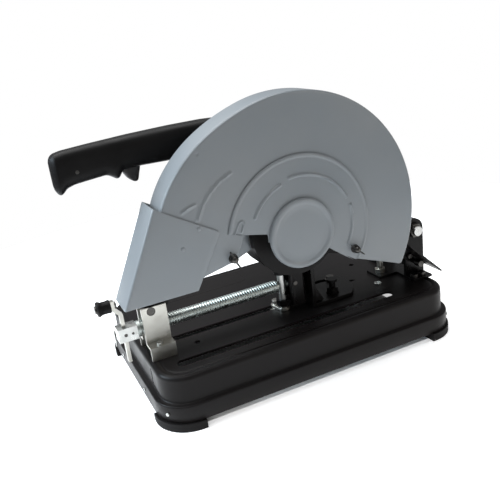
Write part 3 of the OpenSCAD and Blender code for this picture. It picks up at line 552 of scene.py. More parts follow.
class FinishShop:
    """Builds the shared node groups once and one material for each finish."""

    def __init__(self) -> None:
        """Builds the groups and the materials."""
        self.tone = self._tone_group()
        self.pebble = self._pebble_group()
        self.streak = self._streak_group()
        self.materials = {f.name: self._material(f) for f in FINISHES}

    def __getitem__(self, name: str) -> bpy.types.Material:
        """The material of that name."""
        return self.materials[name]

    @staticmethod
    def _group(name: str, inputs: Sequence[tuple[str, str]],
               outputs: Sequence[tuple[str, str]]) -> bpy.types.ShaderNodeTree:
        """An empty shader node group.

        Args:
            name: Group name.
            inputs: Pairs of socket name and socket type.
            outputs: The same for what it gives.

        Returns:
            The group.
        """
        tree = bpy.data.node_groups.new(name, "ShaderNodeTree")
        for in_out, sockets in (("INPUT", inputs), ("OUTPUT", outputs)):
            for label, kind in sockets:
                tree.interface.new_socket(name=label, in_out=in_out, socket_type=kind)
        return tree

    @staticmethod
    def _node(tree: bpy.types.NodeTree, kind: str, feeds: dict,
              values: Optional[dict] = None) -> bpy.types.Node:
        """Adds a node, fills its sockets and links what feeds them.

        Args:
            tree: Where it goes.
            kind: Node type without its ShaderNode prefix.
            feeds: Output socket for each input socket.
            values: Constant for each other input socket.

        Returns:
            The node.
        """
        node = tree.nodes.new("ShaderNode" + kind)
        for key, value in (values or {}).items():
            node.inputs[key].default_value = value
        for key, source in feeds.items():
            tree.links.new(source, node.inputs[key])
        return node

    @staticmethod
    def _noise(tree: bpy.types.NodeTree, vector: bpy.types.NodeSocket,
               scale: Optional[bpy.types.NodeSocket], value: float,
               detail: float) -> bpy.types.Node:
        """A noise texture fed by a vector.

        Args:
            tree: Where it goes.
            vector: Coordinates.
            scale: Socket that gives the scale, or None.
            value: Scale where no socket gives it.
            detail: Octaves.

        Returns:
            The node.
        """
        node = tree.nodes.new("ShaderNodeTexNoise")
        node.inputs["Detail"].default_value = detail
        node.inputs["Scale"].default_value = value
        tree.links.new(vector, node.inputs["Vector"])
        if scale is not None:
            tree.links.new(scale, node.inputs["Scale"])
        return node

    def _tone_group(self) -> bpy.types.ShaderNodeTree:
        """Slow patches of tone.

        Returns:
            Group giving Colour, and Haze from 0 to 1 for roughness.
        """
        tree = self._group("tone_patches",
                           [("Vector", "NodeSocketVector"), ("Colour", "NodeSocketColor"),
                            ("Tint", "NodeSocketColor"), ("Scale", "NodeSocketFloat"),
                            ("Amount", "NodeSocketFloat")],
                           [("Colour", "NodeSocketColor"), ("Haze", "NodeSocketFloat")])
        gin, gout = tree.nodes.new("NodeGroupInput"), tree.nodes.new("NodeGroupOutput")
        slow = self._noise(tree, gin.outputs["Vector"], gin.outputs["Scale"], 1.0, 4.0)
        ramp = self._node(tree, "MapRange", {"Value": slow.outputs["Fac"]},
                          {"From Min": 0.35, "From Max": 0.65})
        strength = self._node(tree, "Math", {0: ramp.outputs["Result"],
                                             1: gin.outputs["Amount"]})
        strength.operation = "MULTIPLY"
        mix = tree.nodes.new("ShaderNodeMix")
        mix.data_type = "RGBA"
        tree.links.new(strength.outputs[0], mix.inputs["Factor"])
        tree.links.new(gin.outputs["Colour"], mix.inputs[6])
        tree.links.new(gin.outputs["Tint"], mix.inputs[7])
        tree.links.new(mix.outputs[2], gout.inputs["Colour"])
        tree.links.new(ramp.outputs["Result"], gout.inputs["Haze"])
        return tree

    def _pebble_group(self) -> bpy.types.ShaderNodeTree:
        """Fine pebbled skin of powder coat, casting or moulded plastic.

        Returns:
            Group giving Height and a Speck mask.
        """
        tree = self._group("pebble_skin",
                           [("Vector", "NodeSocketVector"), ("Scale", "NodeSocketFloat"),
                            ("Coarse", "NodeSocketFloat")],
                           [("Height", "NodeSocketFloat"), ("Speck", "NodeSocketFloat")])
        gin, gout = tree.nodes.new("NodeGroupInput"), tree.nodes.new("NodeGroupOutput")
        fine = self._noise(tree, gin.outputs["Vector"], gin.outputs["Scale"], 1.0, 2.0)
        cells = self._node(tree, "TexVoronoi", {"Vector": gin.outputs["Vector"],
                                                "Scale": gin.outputs["Scale"]})
        cells.feature = "SMOOTH_F1"
        mix = self._node(tree, "Mix", {"Factor": gin.outputs["Coarse"],
                                       "A": fine.outputs["Fac"],
                                       "B": cells.outputs["Distance"]})
        tree.links.new(mix.outputs["Result"], gout.inputs["Height"])
        speck = self._node(tree, "MapRange", {"Value": fine.outputs["Fac"]},
                           {"From Min": 0.62, "From Max": 0.72})
        tree.links.new(speck.outputs["Result"], gout.inputs["Speck"])
        return tree

    def _streak_group(self) -> bpy.types.ShaderNodeTree:
        """Short streaks of drawn or ground metal: noise squeezed along one axis.

        Returns:
            Group giving Height.
        """
        tree = self._group("metal_streaks",
                           [("Vector", "NodeSocketVector"), ("Stretch", "NodeSocketVector"),
                            ("Scale", "NodeSocketFloat")],
                           [("Height", "NodeSocketFloat")])
        gin, gout = tree.nodes.new("NodeGroupInput"), tree.nodes.new("NodeGroupOutput")
        squeeze = self._node(tree, "VectorMath", {0: gin.outputs["Vector"],
                                                  1: gin.outputs["Stretch"]})
        squeeze.operation = "MULTIPLY"
        lines = self._noise(tree, squeeze.outputs["Vector"], gin.outputs["Scale"], 1.0, 3.0)
        tree.links.new(lines.outputs["Fac"], gout.inputs["Height"])
        return tree

    def _material(self, finish: Finish) -> bpy.types.Material:
        """One procedural material.

        Args:
            finish: What it looks like.

        Returns:
            The material.
        """
        mat = bpy.data.materials.new(finish.name)
        mat.use_nodes = True
        tree = mat.node_tree
        new, link = tree.nodes.new, tree.links.new
        shader = tree.nodes["Principled BSDF"]
        shader.inputs["Metallic"].default_value = finish.metallic
        shader.inputs["Coat Weight"].default_value = finish.coat
        shader.inputs["Coat Roughness"].default_value = 0.18
        shader.inputs["Specular IOR Level"].default_value = finish.gloss
        coords = new("ShaderNodeTexCoord")
        tone = new("ShaderNodeGroup")
        tone.node_tree = self.tone
        tone.inputs["Colour"].default_value = (*finish.colour, 1.0)
        tone.inputs["Tint"].default_value = (*finish.tint, 1.0)
        tone.inputs["Scale"].default_value = 1000.0 / finish.patch
        tone.inputs["Amount"].default_value = finish.amount
        link(coords.outputs["Object"], tone.inputs["Vector"])
        skin = new("ShaderNodeGroup")
        metal = finish.texture in (Texture.PLATED, Texture.BRUSHED)
        if finish.texture is Texture.BRUSHED:
            skin.node_tree = self.streak
            skin.inputs["Stretch"].default_value = (1.0, 0.08, 1.0)
        else:
            skin.node_tree = self.pebble
            skin.inputs["Coarse"].default_value = {
                Texture.SMOOTH_ENAMEL: 0.0, Texture.POWDER_COAT: 0.35,
                Texture.PLATED: 0.2, Texture.CAST: 0.6, Texture.MOULDED: 0.5,
            }[finish.texture]
        skin.inputs["Scale"].default_value = 1000.0 / finish.grain
        link(coords.outputs["Object"], skin.inputs["Vector"])
        # dust or haze shifts the roughness a little
        rough = new("ShaderNodeMapRange")
        spread = 0.10 if metal else 0.07
        rough.inputs["To Min"].default_value = finish.roughness - spread
        rough.inputs["To Max"].default_value = finish.roughness + spread
        link(tone.outputs["Haze"], rough.inputs["Value"])
        link(rough.outputs["Result"], shader.inputs["Roughness"])
        link(tone.outputs["Colour"], shader.inputs["Base Color"])
        bump = new("ShaderNodeBump")
        bump.inputs["Strength"].default_value = 1.0
        bump.inputs["Distance"].default_value = finish.depth * MM
        link(skin.outputs["Height"], bump.inputs["Height"])
        link(bump.outputs["Normal"], shader.inputs["Normal"])
        return mat


# --------------------------------------------------------------------------
# pieces


@dataclass
class Base:
    """Pressed steel base with its feet and the rivets in it.

    Attributes:
        frame: The loaded frame.
        shop: The finishes.
        length: Skirt length.
        width: Skirt width.
        top: Height of the flat top.
        step: Height of the step in the wall.
        inset: How far the upper wall stands in.
    """

    frame: dict
    shop: FinishShop
    length: float = 485.0
    width: float = 320.0
    top: float = 77.0
    step: float = 38.0
    inset: float = 8.0

    def section(self) -> Array:
        """Wall section as (inward distance from the skirt, height) pairs.

        The outer face rises from the skirt hem over a rounded step and a rounded
        top edge; the inner face comes back down 3 mm inside it.

        Returns:
            (n, 2) array from the middle of the top round to the underside.
        """
        arc = np.linspace(0.0, math.pi / 2, 7)
        i, s, t = self.inset, self.step, self.top
        rows = [(2.4, 12.0), (0.6, 12.2), (0.0, 13.0), (0.0, s - 3.0)]
        rows += [(2.2 * (1 - math.cos(a)), s - 3.0 + 2.4 * math.sin(a)) for a in arc[1:]]
        rows += [(i - 1.4, s - 0.2), (i - 0.4, s + 0.6), (i, s + 2.0), (i, t - 7.0)]
        rows += [(i + 7.0 * (1 - math.cos(a)), t - 7.0 + 7.0 * math.sin(a))
                 for a in arc[1:]]
        rows += [(i + 10.0, t), (i + 11.6, t - 0.9), (i + 13.6, t - 1.0), (i + 15.2, t)]
        rows += [(i + 17.0, t)]
        return np.array(rows)

    def build(self) -> None:
        """Lofts the shell, cuts the slots, and dresses the feet and rivets."""
        prof = self.section()
        rings = [self._ring(d, z) for d, z in prof]
        inner = [(60.0, self.top), (60.0, self.top - 3.0), (self.inset + 10.0, self.top - 3.0),
                 (self.inset + 3.0, self.top - 9.0), (self.inset + 3.0, self.step - 1.5),
                 (3.0, self.step - 5.0), (2.9, 12.0)]
        shell = Surface()
        outer = np.stack(rings + [self._ring(60.0, self.top)])
        under = np.stack([self._ring(d, z) for d, z in inner[1:]])
        loop = np.concatenate([outer, under])
        rows, cols = loop.shape[:2]
        faces = grid_faces(rows, cols, False, True).tolist()
        hem = grid_faces(2, cols, False, True)
        hem = np.where(hem < cols, hem + (rows - 1) * cols, hem - cols)
        top_row, low_row = len(outer) - 1, len(outer)
        # the flat middle is one face above and one below
        faces = [f for f in faces if not (f[0] // cols == top_row)]
        faces += hem.tolist()
        faces.append(list(range(top_row * cols, top_row * cols + cols)))
        faces.append(list(range(low_row * cols, low_row * cols + cols)))
        shell.add(loop.reshape(-1, 3), faces)
        obj = shell.make("base_pressing", "base", self.shop["base_enamel"], ["base_shell"])
        kerf, guide = (-203, 150, -113.5, 16), (-188, -6, -40, 14)
        outlines = [slot_outline(*kerf), slot_outline(*guide)]
        for x, y, r in ((-157.5, -71.0, 4.5), (166.0, 21.0, 4.5)):
            outlines.append(slot_outline(x - r, x + r, y, 2 * r))
        outlines.append(self._half_moon())
        through_top = (60, 90)
        tools = [prism(outline, *through_top) for outline in outlines]
        slit = np.array([[-236.0, -90], [-230, -90], [-230, -86.5], [-236.0, -86.5]])
        tools.append(prism(slit, 46, 70))
        cut(obj, tools)
        obj.data.set_sharp_from_angle(angle=math.radians(SHARP_DEG))
        self._beads()
        self._tabs()
        for node, finish, width in (("feet", "black_rubber", 2.0),
                                    ("base_fasteners", "zinc", 0.5)):
            refined(self.frame, node, "base", self.shop[finish], width, 3)

    def _ring(self, inward: float, z: float) -> Array:
        """One closed ring of the loft, moved inward from the skirt, at height z."""
        radius = max(48.5 - inward, 6.0)
        flat = rounded_rect(self.length - 2 * inward, self.width - 2 * inward, radius)
        return np.column_stack([flat, np.full(len(flat), z)])

    @staticmethod
    def _half_moon() -> Array:
        """Outline of the half-round knock-out in the top."""
        a = np.linspace(math.pi * 0.02, math.pi * 0.98, 14)
        return np.column_stack([128 + 7 * np.cos(a), -38 + 7 * np.sin(a)])

    def _beads(self) -> None:
        """Raised beads pressed into the top: low half-round ridges along paths."""
        z = self.top - 0.35
        t = np.linspace(0, 1, 24)[:, None]

        def run(*pts: tuple[float, float]) -> Array:
            """Points shared evenly along straight runs, with their corners eased."""
            p = np.array(pts, float)
            line = np.vstack([p[k] + (p[k + 1] - p[k]) * t for k in range(len(p) - 1)])
            relaxed(line, 6)
            keep = np.r_[True, np.linalg.norm(np.diff(line, axis=0), axis=1) > 1e-6]
            return np.column_stack([line[keep], np.full(keep.sum(), z)])

        beads = Surface()
        a = np.linspace(math.pi * 1.35, math.pi * 0.35, 14)
        curl = np.column_stack([-166 + 9 * np.cos(a), -139 + 7 * np.sin(a)])
        tail = np.array([[-140, -135.5], [-114, -137], [60, -139], [185, -138]])
        beads.tube(run(*map(tuple, curl), *map(tuple, tail)), 1.1, 8, 0.55)
        beads.tube(run((-205, 86), (-14, 86), (-6, 94), (-6, 132)), 1.2, 8, 0.55)
        beads.tube(run((80, 86), (150, 86)), 1.2, 8, 0.55)
        beads.tube(run((172, -133), (184, -133)), 2.2, 8, 0.5)
        beads.make("base_beads", "base", self.shop["base_enamel"])

    def _tabs(self) -> None:
        """Corner tabs under the skirt, each with its bench bolt hole."""
        for k, (sx, sy) in enumerate([(1, 1), (-1, 1), (-1, -1), (1, -1)]):
            a = np.linspace(0, math.pi / 2, 14)
            c = np.array([sx * 194.0, sy * 111.5])
            turn = np.column_stack([sx * 46.5 * np.cos(a), sy * 46.5 * np.sin(a)]) + c
            outline = np.vstack([turn, [[sx * 178, sy * 158.0], [sx * 178, sy * 96],
                                        [sx * 240.5, sy * 96]]])
            ring = np.stack([np.column_stack([outline, np.full(len(outline), z)])
                             for z in (12.1, 15.0)])
            tab = Surface().grid(ring, wrap_cols=True, caps=True).make(
                f"base_tab_{k + 1}", "base", self.shop["base_enamel"])
            cut(tab, [prism(slot_outline(sx * 208 - 4.25, sx * 208 + 4.25, sy * 126, 8.5),
                            5, 20)])


@dataclass
class Guard:
    """Upper wheel guard, hinged centre cover and front deflector.

    Attributes:
        shop: The finishes.
        hub: Spindle axis in X and Z.
        radius: Outer radius.
        near: Y of the near face.
        depth: Across the guard.
        soft: Radius of the rolled edges.
        sheet: Thickness of the guard sheet.
        cover_sheet: Thickness of the cover sheet.
    """

    shop: FinishShop
    hub: tuple[float, float] = (-7.0, 221.0)
    radius: float = 188.0
    near: float = -132.0
    depth: float = 46.0
    soft: float = 3.0
    sheet: float = 2.0
    cover_sheet: float = 1.2

    def _polar(self, outline: Sequence[Sequence[float]], angles: Array) -> Array:
        """Distance from the hub to a star-shaped outline at each angle.

        Args:
            outline: Points in X and Z in the order of growing angle.
            angles: Radians, growing.

        Returns:
            Distances.
        """
        pts = np.asarray(outline, float)
        t = np.linspace(0, 1, 40, endpoint=False)[:, None]
        dense = np.vstack([pts[k] + (pts[k + 1] - pts[k]) * t
                           for k in range(len(pts) - 1)] + [pts[-1:]])
        rel = dense - self.hub
        ang = np.unwrap(np.arctan2(rel[:, 1], rel[:, 0]))
        ang += TAU * np.ceil((angles[0] - ang.mean()) / TAU - 0.02)
        order = np.argsort(ang)
        return np.interp(angles, ang[order], np.hypot(rel[:, 0], rel[:, 1])[order])

    def _ridge(self, x: Array, z: Array, path: Sequence[Sequence[float]], width: float,
               high: float) -> Array:
        """Height of a pressed ridge along a path: a bell of the distance to it.

        Args:
            x: X of the points.
            z: Z of the points.
            path: Corner points of the path, in X and Z.
            width: Half width of the bell.
            high: Height of the ridge.

        Returns:
            Heights.
        """
        best = np.full(x.shape, 1e9)
        p = np.asarray(path, float)
        for a, b in zip(p[:-1], p[1:]):
            d = b - a
            t = np.clip(((x - a[0]) * d[0] + (z - a[1]) * d[1]) / (d @ d), 0, 1)
            best = np.minimum(best, np.hypot(x - a[0] - t * d[0], z - a[1] - t * d[1]))
        return high * np.exp(-((best / width) ** 4))

    def _arc(self, radius: float, start: float, end: float, lift: float = 0.0,
             steps: int = 24) -> Array:
        """Points of an arc round the hub, its radius growing by lift to the end."""
        a = np.radians(np.linspace(start, end, steps))
        r = radius + np.linspace(0.0, lift, steps)
        return np.column_stack([self.hub[0] + r * np.cos(a), self.hub[1] + r * np.sin(a)])

    def _around(self, angles: Array, reach: Array, y: Array | float) -> Array:
        """Points round the hub.

        Args:
            angles: Radians.
            reach: Distances from the hub.
            y: Where along the spindle.

        Returns:
            Points with X, Y and Z in the last axis.
        """
        return np.stack([self.hub[0] + reach * np.cos(angles), y + 0 * reach,
                         self.hub[1] + reach * np.sin(angles)], -1)

    def _outer(self, angles: Array, inset: float = 0.0) -> Array:
        """Distance to the outline: a circle whose radius grows to a straight front.

        Args:
            angles: Radians.
            inset: How far inside the outline.

        Returns:
            Distances.
        """
        deg = np.degrees(angles)
        fine = np.linspace(96.0, 176.0, 161)
        swell = self.radius + np.interp(
            fine, [96, 108, 116, 124, 132, 140, 148, 156, 164, 176],
            [0.0, 0.1, 0.9, 2.9, 6.0, 9.1, 11.9, 13.9, 14.8, 15.0])
        relaxed(swell, 60)
        r = np.interp(deg, fine, swell - 0.3 * smooth_step(fine, 100.0, 112.0)) - inset
        front = (198.0 - inset) / np.maximum(-np.cos(angles), 0.05)
        r = np.where(deg > 140.0, np.minimum(r, front), r)
        low = self._polar([(75, 160.4), (160.4, 128.2), (180, 120.8)], angles) - inset
        return np.where(deg < -28.9, np.minimum(low, r), r)

    def shell(self) -> None:
        """Near face, rolled rim and far face of the guard, as grids round the hub."""
        start, end = -36.3, 190.5
        a = np.radians(np.linspace(start, end, 420))
        rim = self._outer(a)
        inner = np.full(a.shape, 84.0)
        lobe = self._polar([(-91.2, 237), (-92.5, 233), (-96, 226), (-101, 216), (-108, 207.6),
                            (-113, 205.4), (-152, 197), (-205, 186.5)], a)
        inner = np.where(np.degrees(a) > 169.5, np.maximum(lobe, inner), inner)
        wedge = self._polar([(62, 171), (75, 160.4)], a)
        inner = np.where(np.degrees(a) < -35.0, np.maximum(inner, wedge), inner)
        inner = np.minimum(inner, rim - self.soft - 1.0)
        bend = np.linspace(0, math.pi / 2, 6)
        u = np.linspace(0, 1, 64)[:, None]
        face = self._around(a, inner + (rim - self.soft - inner) * u, self.near)
        face[..., 1] -= self._near_relief(face[..., 0], face[..., 2])
        roll = self._around(a, rim - self.soft + self.soft * np.sin(bend)[1:, None],
                            self.near + self.soft * (1 - np.cos(bend))[1:, None])
        back = self._around(a, rim - self.soft + self.soft * np.cos(bend)[:, None],
                            self.near + self.depth
                            - self.soft * (1 - np.sin(bend))[:, None])
        # the rim band only runs where the outline is round or straight, so the
        # rows of the open ends fold onto the near face there
        band = np.concatenate([face, roll, back])
        keep = (np.degrees(a) > -29.2) & (np.degrees(a) < 161.0)
        near = Surface().grid(np.concatenate([face, roll[:3]]))
        near.make("guard_face", "head", self.shop["grey_enamel"], ["upper_guard"],
                  closed=False, outward=Vector((0, -1, 0)))
        thicken(bpy.data.objects["guard_face"], self.sheet)
        wrap = Surface().grid(band[len(face) + 2:][:, keep])
        thicken(wrap.make("guard_rim", "head", self.shop["grey_enamel"], closed=False,
                          outward=Vector((1, 0, 0))), self.sheet)
        self._far_face()

    def _near_relief(self, x: Array, z: Array) -> Array:
        """Pressed relief of the near face: one long rib, a short one and a pip."""
        rib = self._ridge(x, z, [(-149.5, 274), (-141, 290), (-130, 303), (-115, 315),
                                 (-98, 323)], 1.9, 2.2)
        short = self._ridge(x, z, [(-168, 287), (-160, 291), (-150, 293.5)], 1.6, 1.7)
        pip = -0.9 * np.exp(-(((x + 138) ** 2 + (z - 354.5) ** 2) / 3.2) ** 2)
        return rib + short + pip

    def _far_face(self) -> None:
        """Far plate between the rim and the hole for the gear case."""
        a = np.radians(np.linspace(-36.3, 201.0, 260))
        rim = self._outer(a) - 1.5
        low = self._polar([(-93, 187), (-152, 187), (-205, 187)], a)
        rim = np.where(np.degrees(a) > 190.3, np.minimum(low, 197.0), rim)
        cx, cz, r = 4.0, 216.0, 69.4
        dx, dz = self.hub[0] - cx, self.hub[1] - cz
        b = dx * np.cos(a) + dz * np.sin(a)
        inner = -b + np.sqrt(b * b - (dx * dx + dz * dz - r * r))
        inner = np.minimum(inner, rim - 1.0)
        u = np.linspace(0, 1, 24)[:, None]
        rr = inner + (rim - inner) * u
        plate = self._around(a, rr, self.near + self.depth)
        thicken(Surface().grid(plate).make(
            "guard_far_face", "head", self.shop["grey_enamel"], closed=False,
            outward=Vector((0, 1, 0))), self.sheet)

    def cover(self) -> None:
        """Hinged centre cover: a fan-shaped sheet and the round boss it carries.

        The sheet is a polar grid from inside the boss to its outline; the boss is a
        profile turned about the hub.
        """
        front = self.near - 2.3
        a = np.radians(np.linspace(-45.6, 181.2, 400))
        deg = np.degrees(a)
        left = self._polar([(-112.6, 243.6), (-104, 242.2), (-62, 234.4), (-58.6, 232.4),
                            (-57.2, 229), (-57.2, 214)], a)
        edge = np.where(deg > 167.4, np.minimum(108.0, left), 108.0)
        low = self._polar([(26.5, 186.5), (31, 193), (70, 160.5), (74, 158.8), (79, 160.2),
                           (88, 164), (97, 167.4), (140, 175)], a)
        edge = np.where(deg < -20.0, np.minimum(low, edge), edge)
        u = np.linspace(0.0, 1.0, 70)[:, None]
        rr = 44.0 + (edge - 45.0) * u
        face = self._around(a, rr, front)
        face[..., 1] -= self._cover_relief(face[..., 0], face[..., 2], rr)
        side = self._around(a, edge[None, :] - np.array([[0.4], [0.0], [0.0]]),
                            front + np.array([[0.15], [0.7], [1.3]]))
        sheet = Surface().grid(np.concatenate([face, side]))
        thicken(sheet.make("cover_sheet", "cover", self.shop["grey_enamel"],
                           ["centre_cover"], closed=False, outward=Vector((0, -1, 0))),
                self.cover_sheet)
        boss = [(-2.0, 46.4), (0.6, 46.6), (0.6, 48.5), (-3.4, 48.5), (-4.6, 48.0),
                (-5.4, 46.9), (-5.6, 45.2), (-5.5, 43.4), (-4.9, 41.9), (-4.1, 40.6),
                (-3.7, 39.0), (-3.6, 30.0), (-3.6, 12.0), (-3.6, 0.0001)]
        inner = [(-1.6, 0.0001), (-1.8, 38.0), (-2.4, 41.0)]
        Surface().lathe(inner + boss, (self.hub[0], front, self.hub[1]), "Y",
                        120).make("cover_boss", "cover", self.shop["grey_enamel"])

    def _cover_relief(self, x: Array, z: Array, r: Array) -> Array:
        """Relief of the cover: three arc ribs, a slot mark and a rolled-down rim."""
        ribs = (self._ridge(x, z, self._arc(75.5, 151.0, 109.5, 1.0), 1.9, 2.4)
                + self._ridge(x, z, self._arc(79.5, 98.5, 25.0, 1.5), 1.9, 2.4)
                + self._ridge(x, z, self._arc(82.0, 15.0, -26.0, -3.0), 1.9, 2.4))
        mark = self._ridge(x, z, [(-104.5, 243), (-96, 257), (-91, 258.5), (-89.5, 254),
                                  (-94, 244)], 1.1, 1.6)
        rolled = 0.8 * np.exp(-((r - 105.0) / 1.8) ** 4)
        return ribs + mark + rolled

    def deflector(self) -> None:
        """Front chute: a U section carried down the slanted front edge."""
        y0, depth, r = self.near - 2.0, self.depth + 4.0, 3.0
        t = np.linspace(0, 1, 40)
        front = np.array([-204.0, 300.5]) + t[:, None] * np.array([-57.0, -119.0])
        rear = np.array([-121.0, 254.5]) + t[:, None] * np.array([-42.0, -73.0])
        ease = np.clip(1 - t / 0.085, 0, 1)[:, None] ** 2
        rear = rear + ease * np.array([-5.5, -0.6])
        bend = np.linspace(0, math.pi / 2, 6)
        u_side = np.linspace(0, 1, 14)
        length = np.linalg.norm(rear - front, axis=1)
        rows = []
        for s in u_side:
            rows.append((rear * (1 - s) + s * (front + (rear - front) * (r / length)[:, None]),
                         y0))
        for b in bend[1:]:
            inset = r * (1 - math.sin(b)) / length
            rows.append((front + (rear - front) * inset[:, None], y0 + r * (1 - math.cos(b))))
        for b in bend:
            inset = r * (1 - math.cos(b)) / length
            rows.append((front + (rear - front) * inset[:, None],
                         y0 + depth - r * (1 - math.sin(b))))
        for s in u_side[1:]:
            rows.append((rear * s + (1 - s) * (front + (rear - front) * (r / length)[:, None]),
                         y0 + depth))
        pts = np.stack([np.stack([p[:, 0], np.full(len(p), y), p[:, 1]], -1)
                        for p, y in rows])
        obj = Surface().grid(pts).make("deflector_chute", "head", self.shop["grey_enamel"],
                                       ["front_deflector"], closed=False,
                                       outward=Vector((0, -1, 0)))
        thicken(obj, self.sheet)
        soft = obj.modifiers.new("soft_edges", "BEVEL")
        soft.width, soft.segments, soft.limit_method = 0.5 * MM, 2, "ANGLE"

    def rivets(self) -> None:
        """Domed heads that hold the deflector."""
        dome = [(0.0, 3.1), (-0.5, 3.0), (-1.0, 2.2), (-1.25, 1.0), (-1.3, 0.0001)]
        part = Surface()
        for x, z in ((-174.5, 241.4), (-150.0, 262.0)):
            part.lathe(dome, (x, self.near - 2.0, z), "Y", 24)
            part.lathe([(-d, r) for d, r in dome], (x, self.near + self.depth + 2.0, z),
                       "Y", 24)
        part.make("deflector_rivet_heads", "head", self.shop["grey_enamel"],
                  ["guard_rivets"])

    def wing_screws(self) -> None:
        """Two wing screws: a domed hub with a pair of flattened wings."""
        for name, node, body, (x, z), y, turn, finish in (
                ("rear_wing", "rear_wing_screw", "rear_wing", (74.8, 176.8),
                 self.near - 2.6, -42.0, "dark_fastener"),
                ("front_wing", "front_wing_screw", "front_wing", (-110.0, 211.5),
                 self.near - 0.3, -66.0, "dark_fastener")):
            part = Surface()
            part.lathe([(9.0, 2.9), (0.0, 2.9), (0.0, 6.0), (-1.2, 6.4), (-3.0, 5.6),
                        (-5.0, 5.4), (-8.0, 4.9), (-10.4, 3.6), (-11.6, 1.6),
                        (-11.8, 0.0001)], (x, y, z), "Y", 32)
            a = math.radians(turn)
            for sign in (1.0, -1.0):
                s = np.linspace(0, 1, 14)[:, None]
                th = np.linspace(0, TAU, 20, endpoint=False)[None, :]
                # a flat blade that widens outward and ends round
                wide = (2.4 + 1.6 * np.sin(math.pi * s ** 0.9)) * np.sqrt(
                    np.clip(1 - np.clip((s - 0.75) / 0.26, 0, 1) ** 2, 0.01, 1))
                reach = sign * (2.5 + 12.0 * s)
                off = wide * np.cos(th)
                thick = 1.15 * np.sqrt(np.clip(1.02 - s ** 6, 0.02, 1)) * np.sin(th)
                px = x + reach * math.cos(a) - thick * math.sin(a)
                pz = z + reach * math.sin(a) + thick * math.cos(a)
                py = y - 6.6 - 1.6 * s + off
                part.grid(np.stack([px + 0 * py, py, pz + 0 * py], -1), wrap_cols=True,
                          caps=True)
            part.make(name + "_polished", body, self.shop[finish], [node])

    def build(self) -> None:
        """Builds every piece of the guard."""
        self.shell()
        self.cover()
        self.deflector()
        self.rivets()
        self.wing_screws()


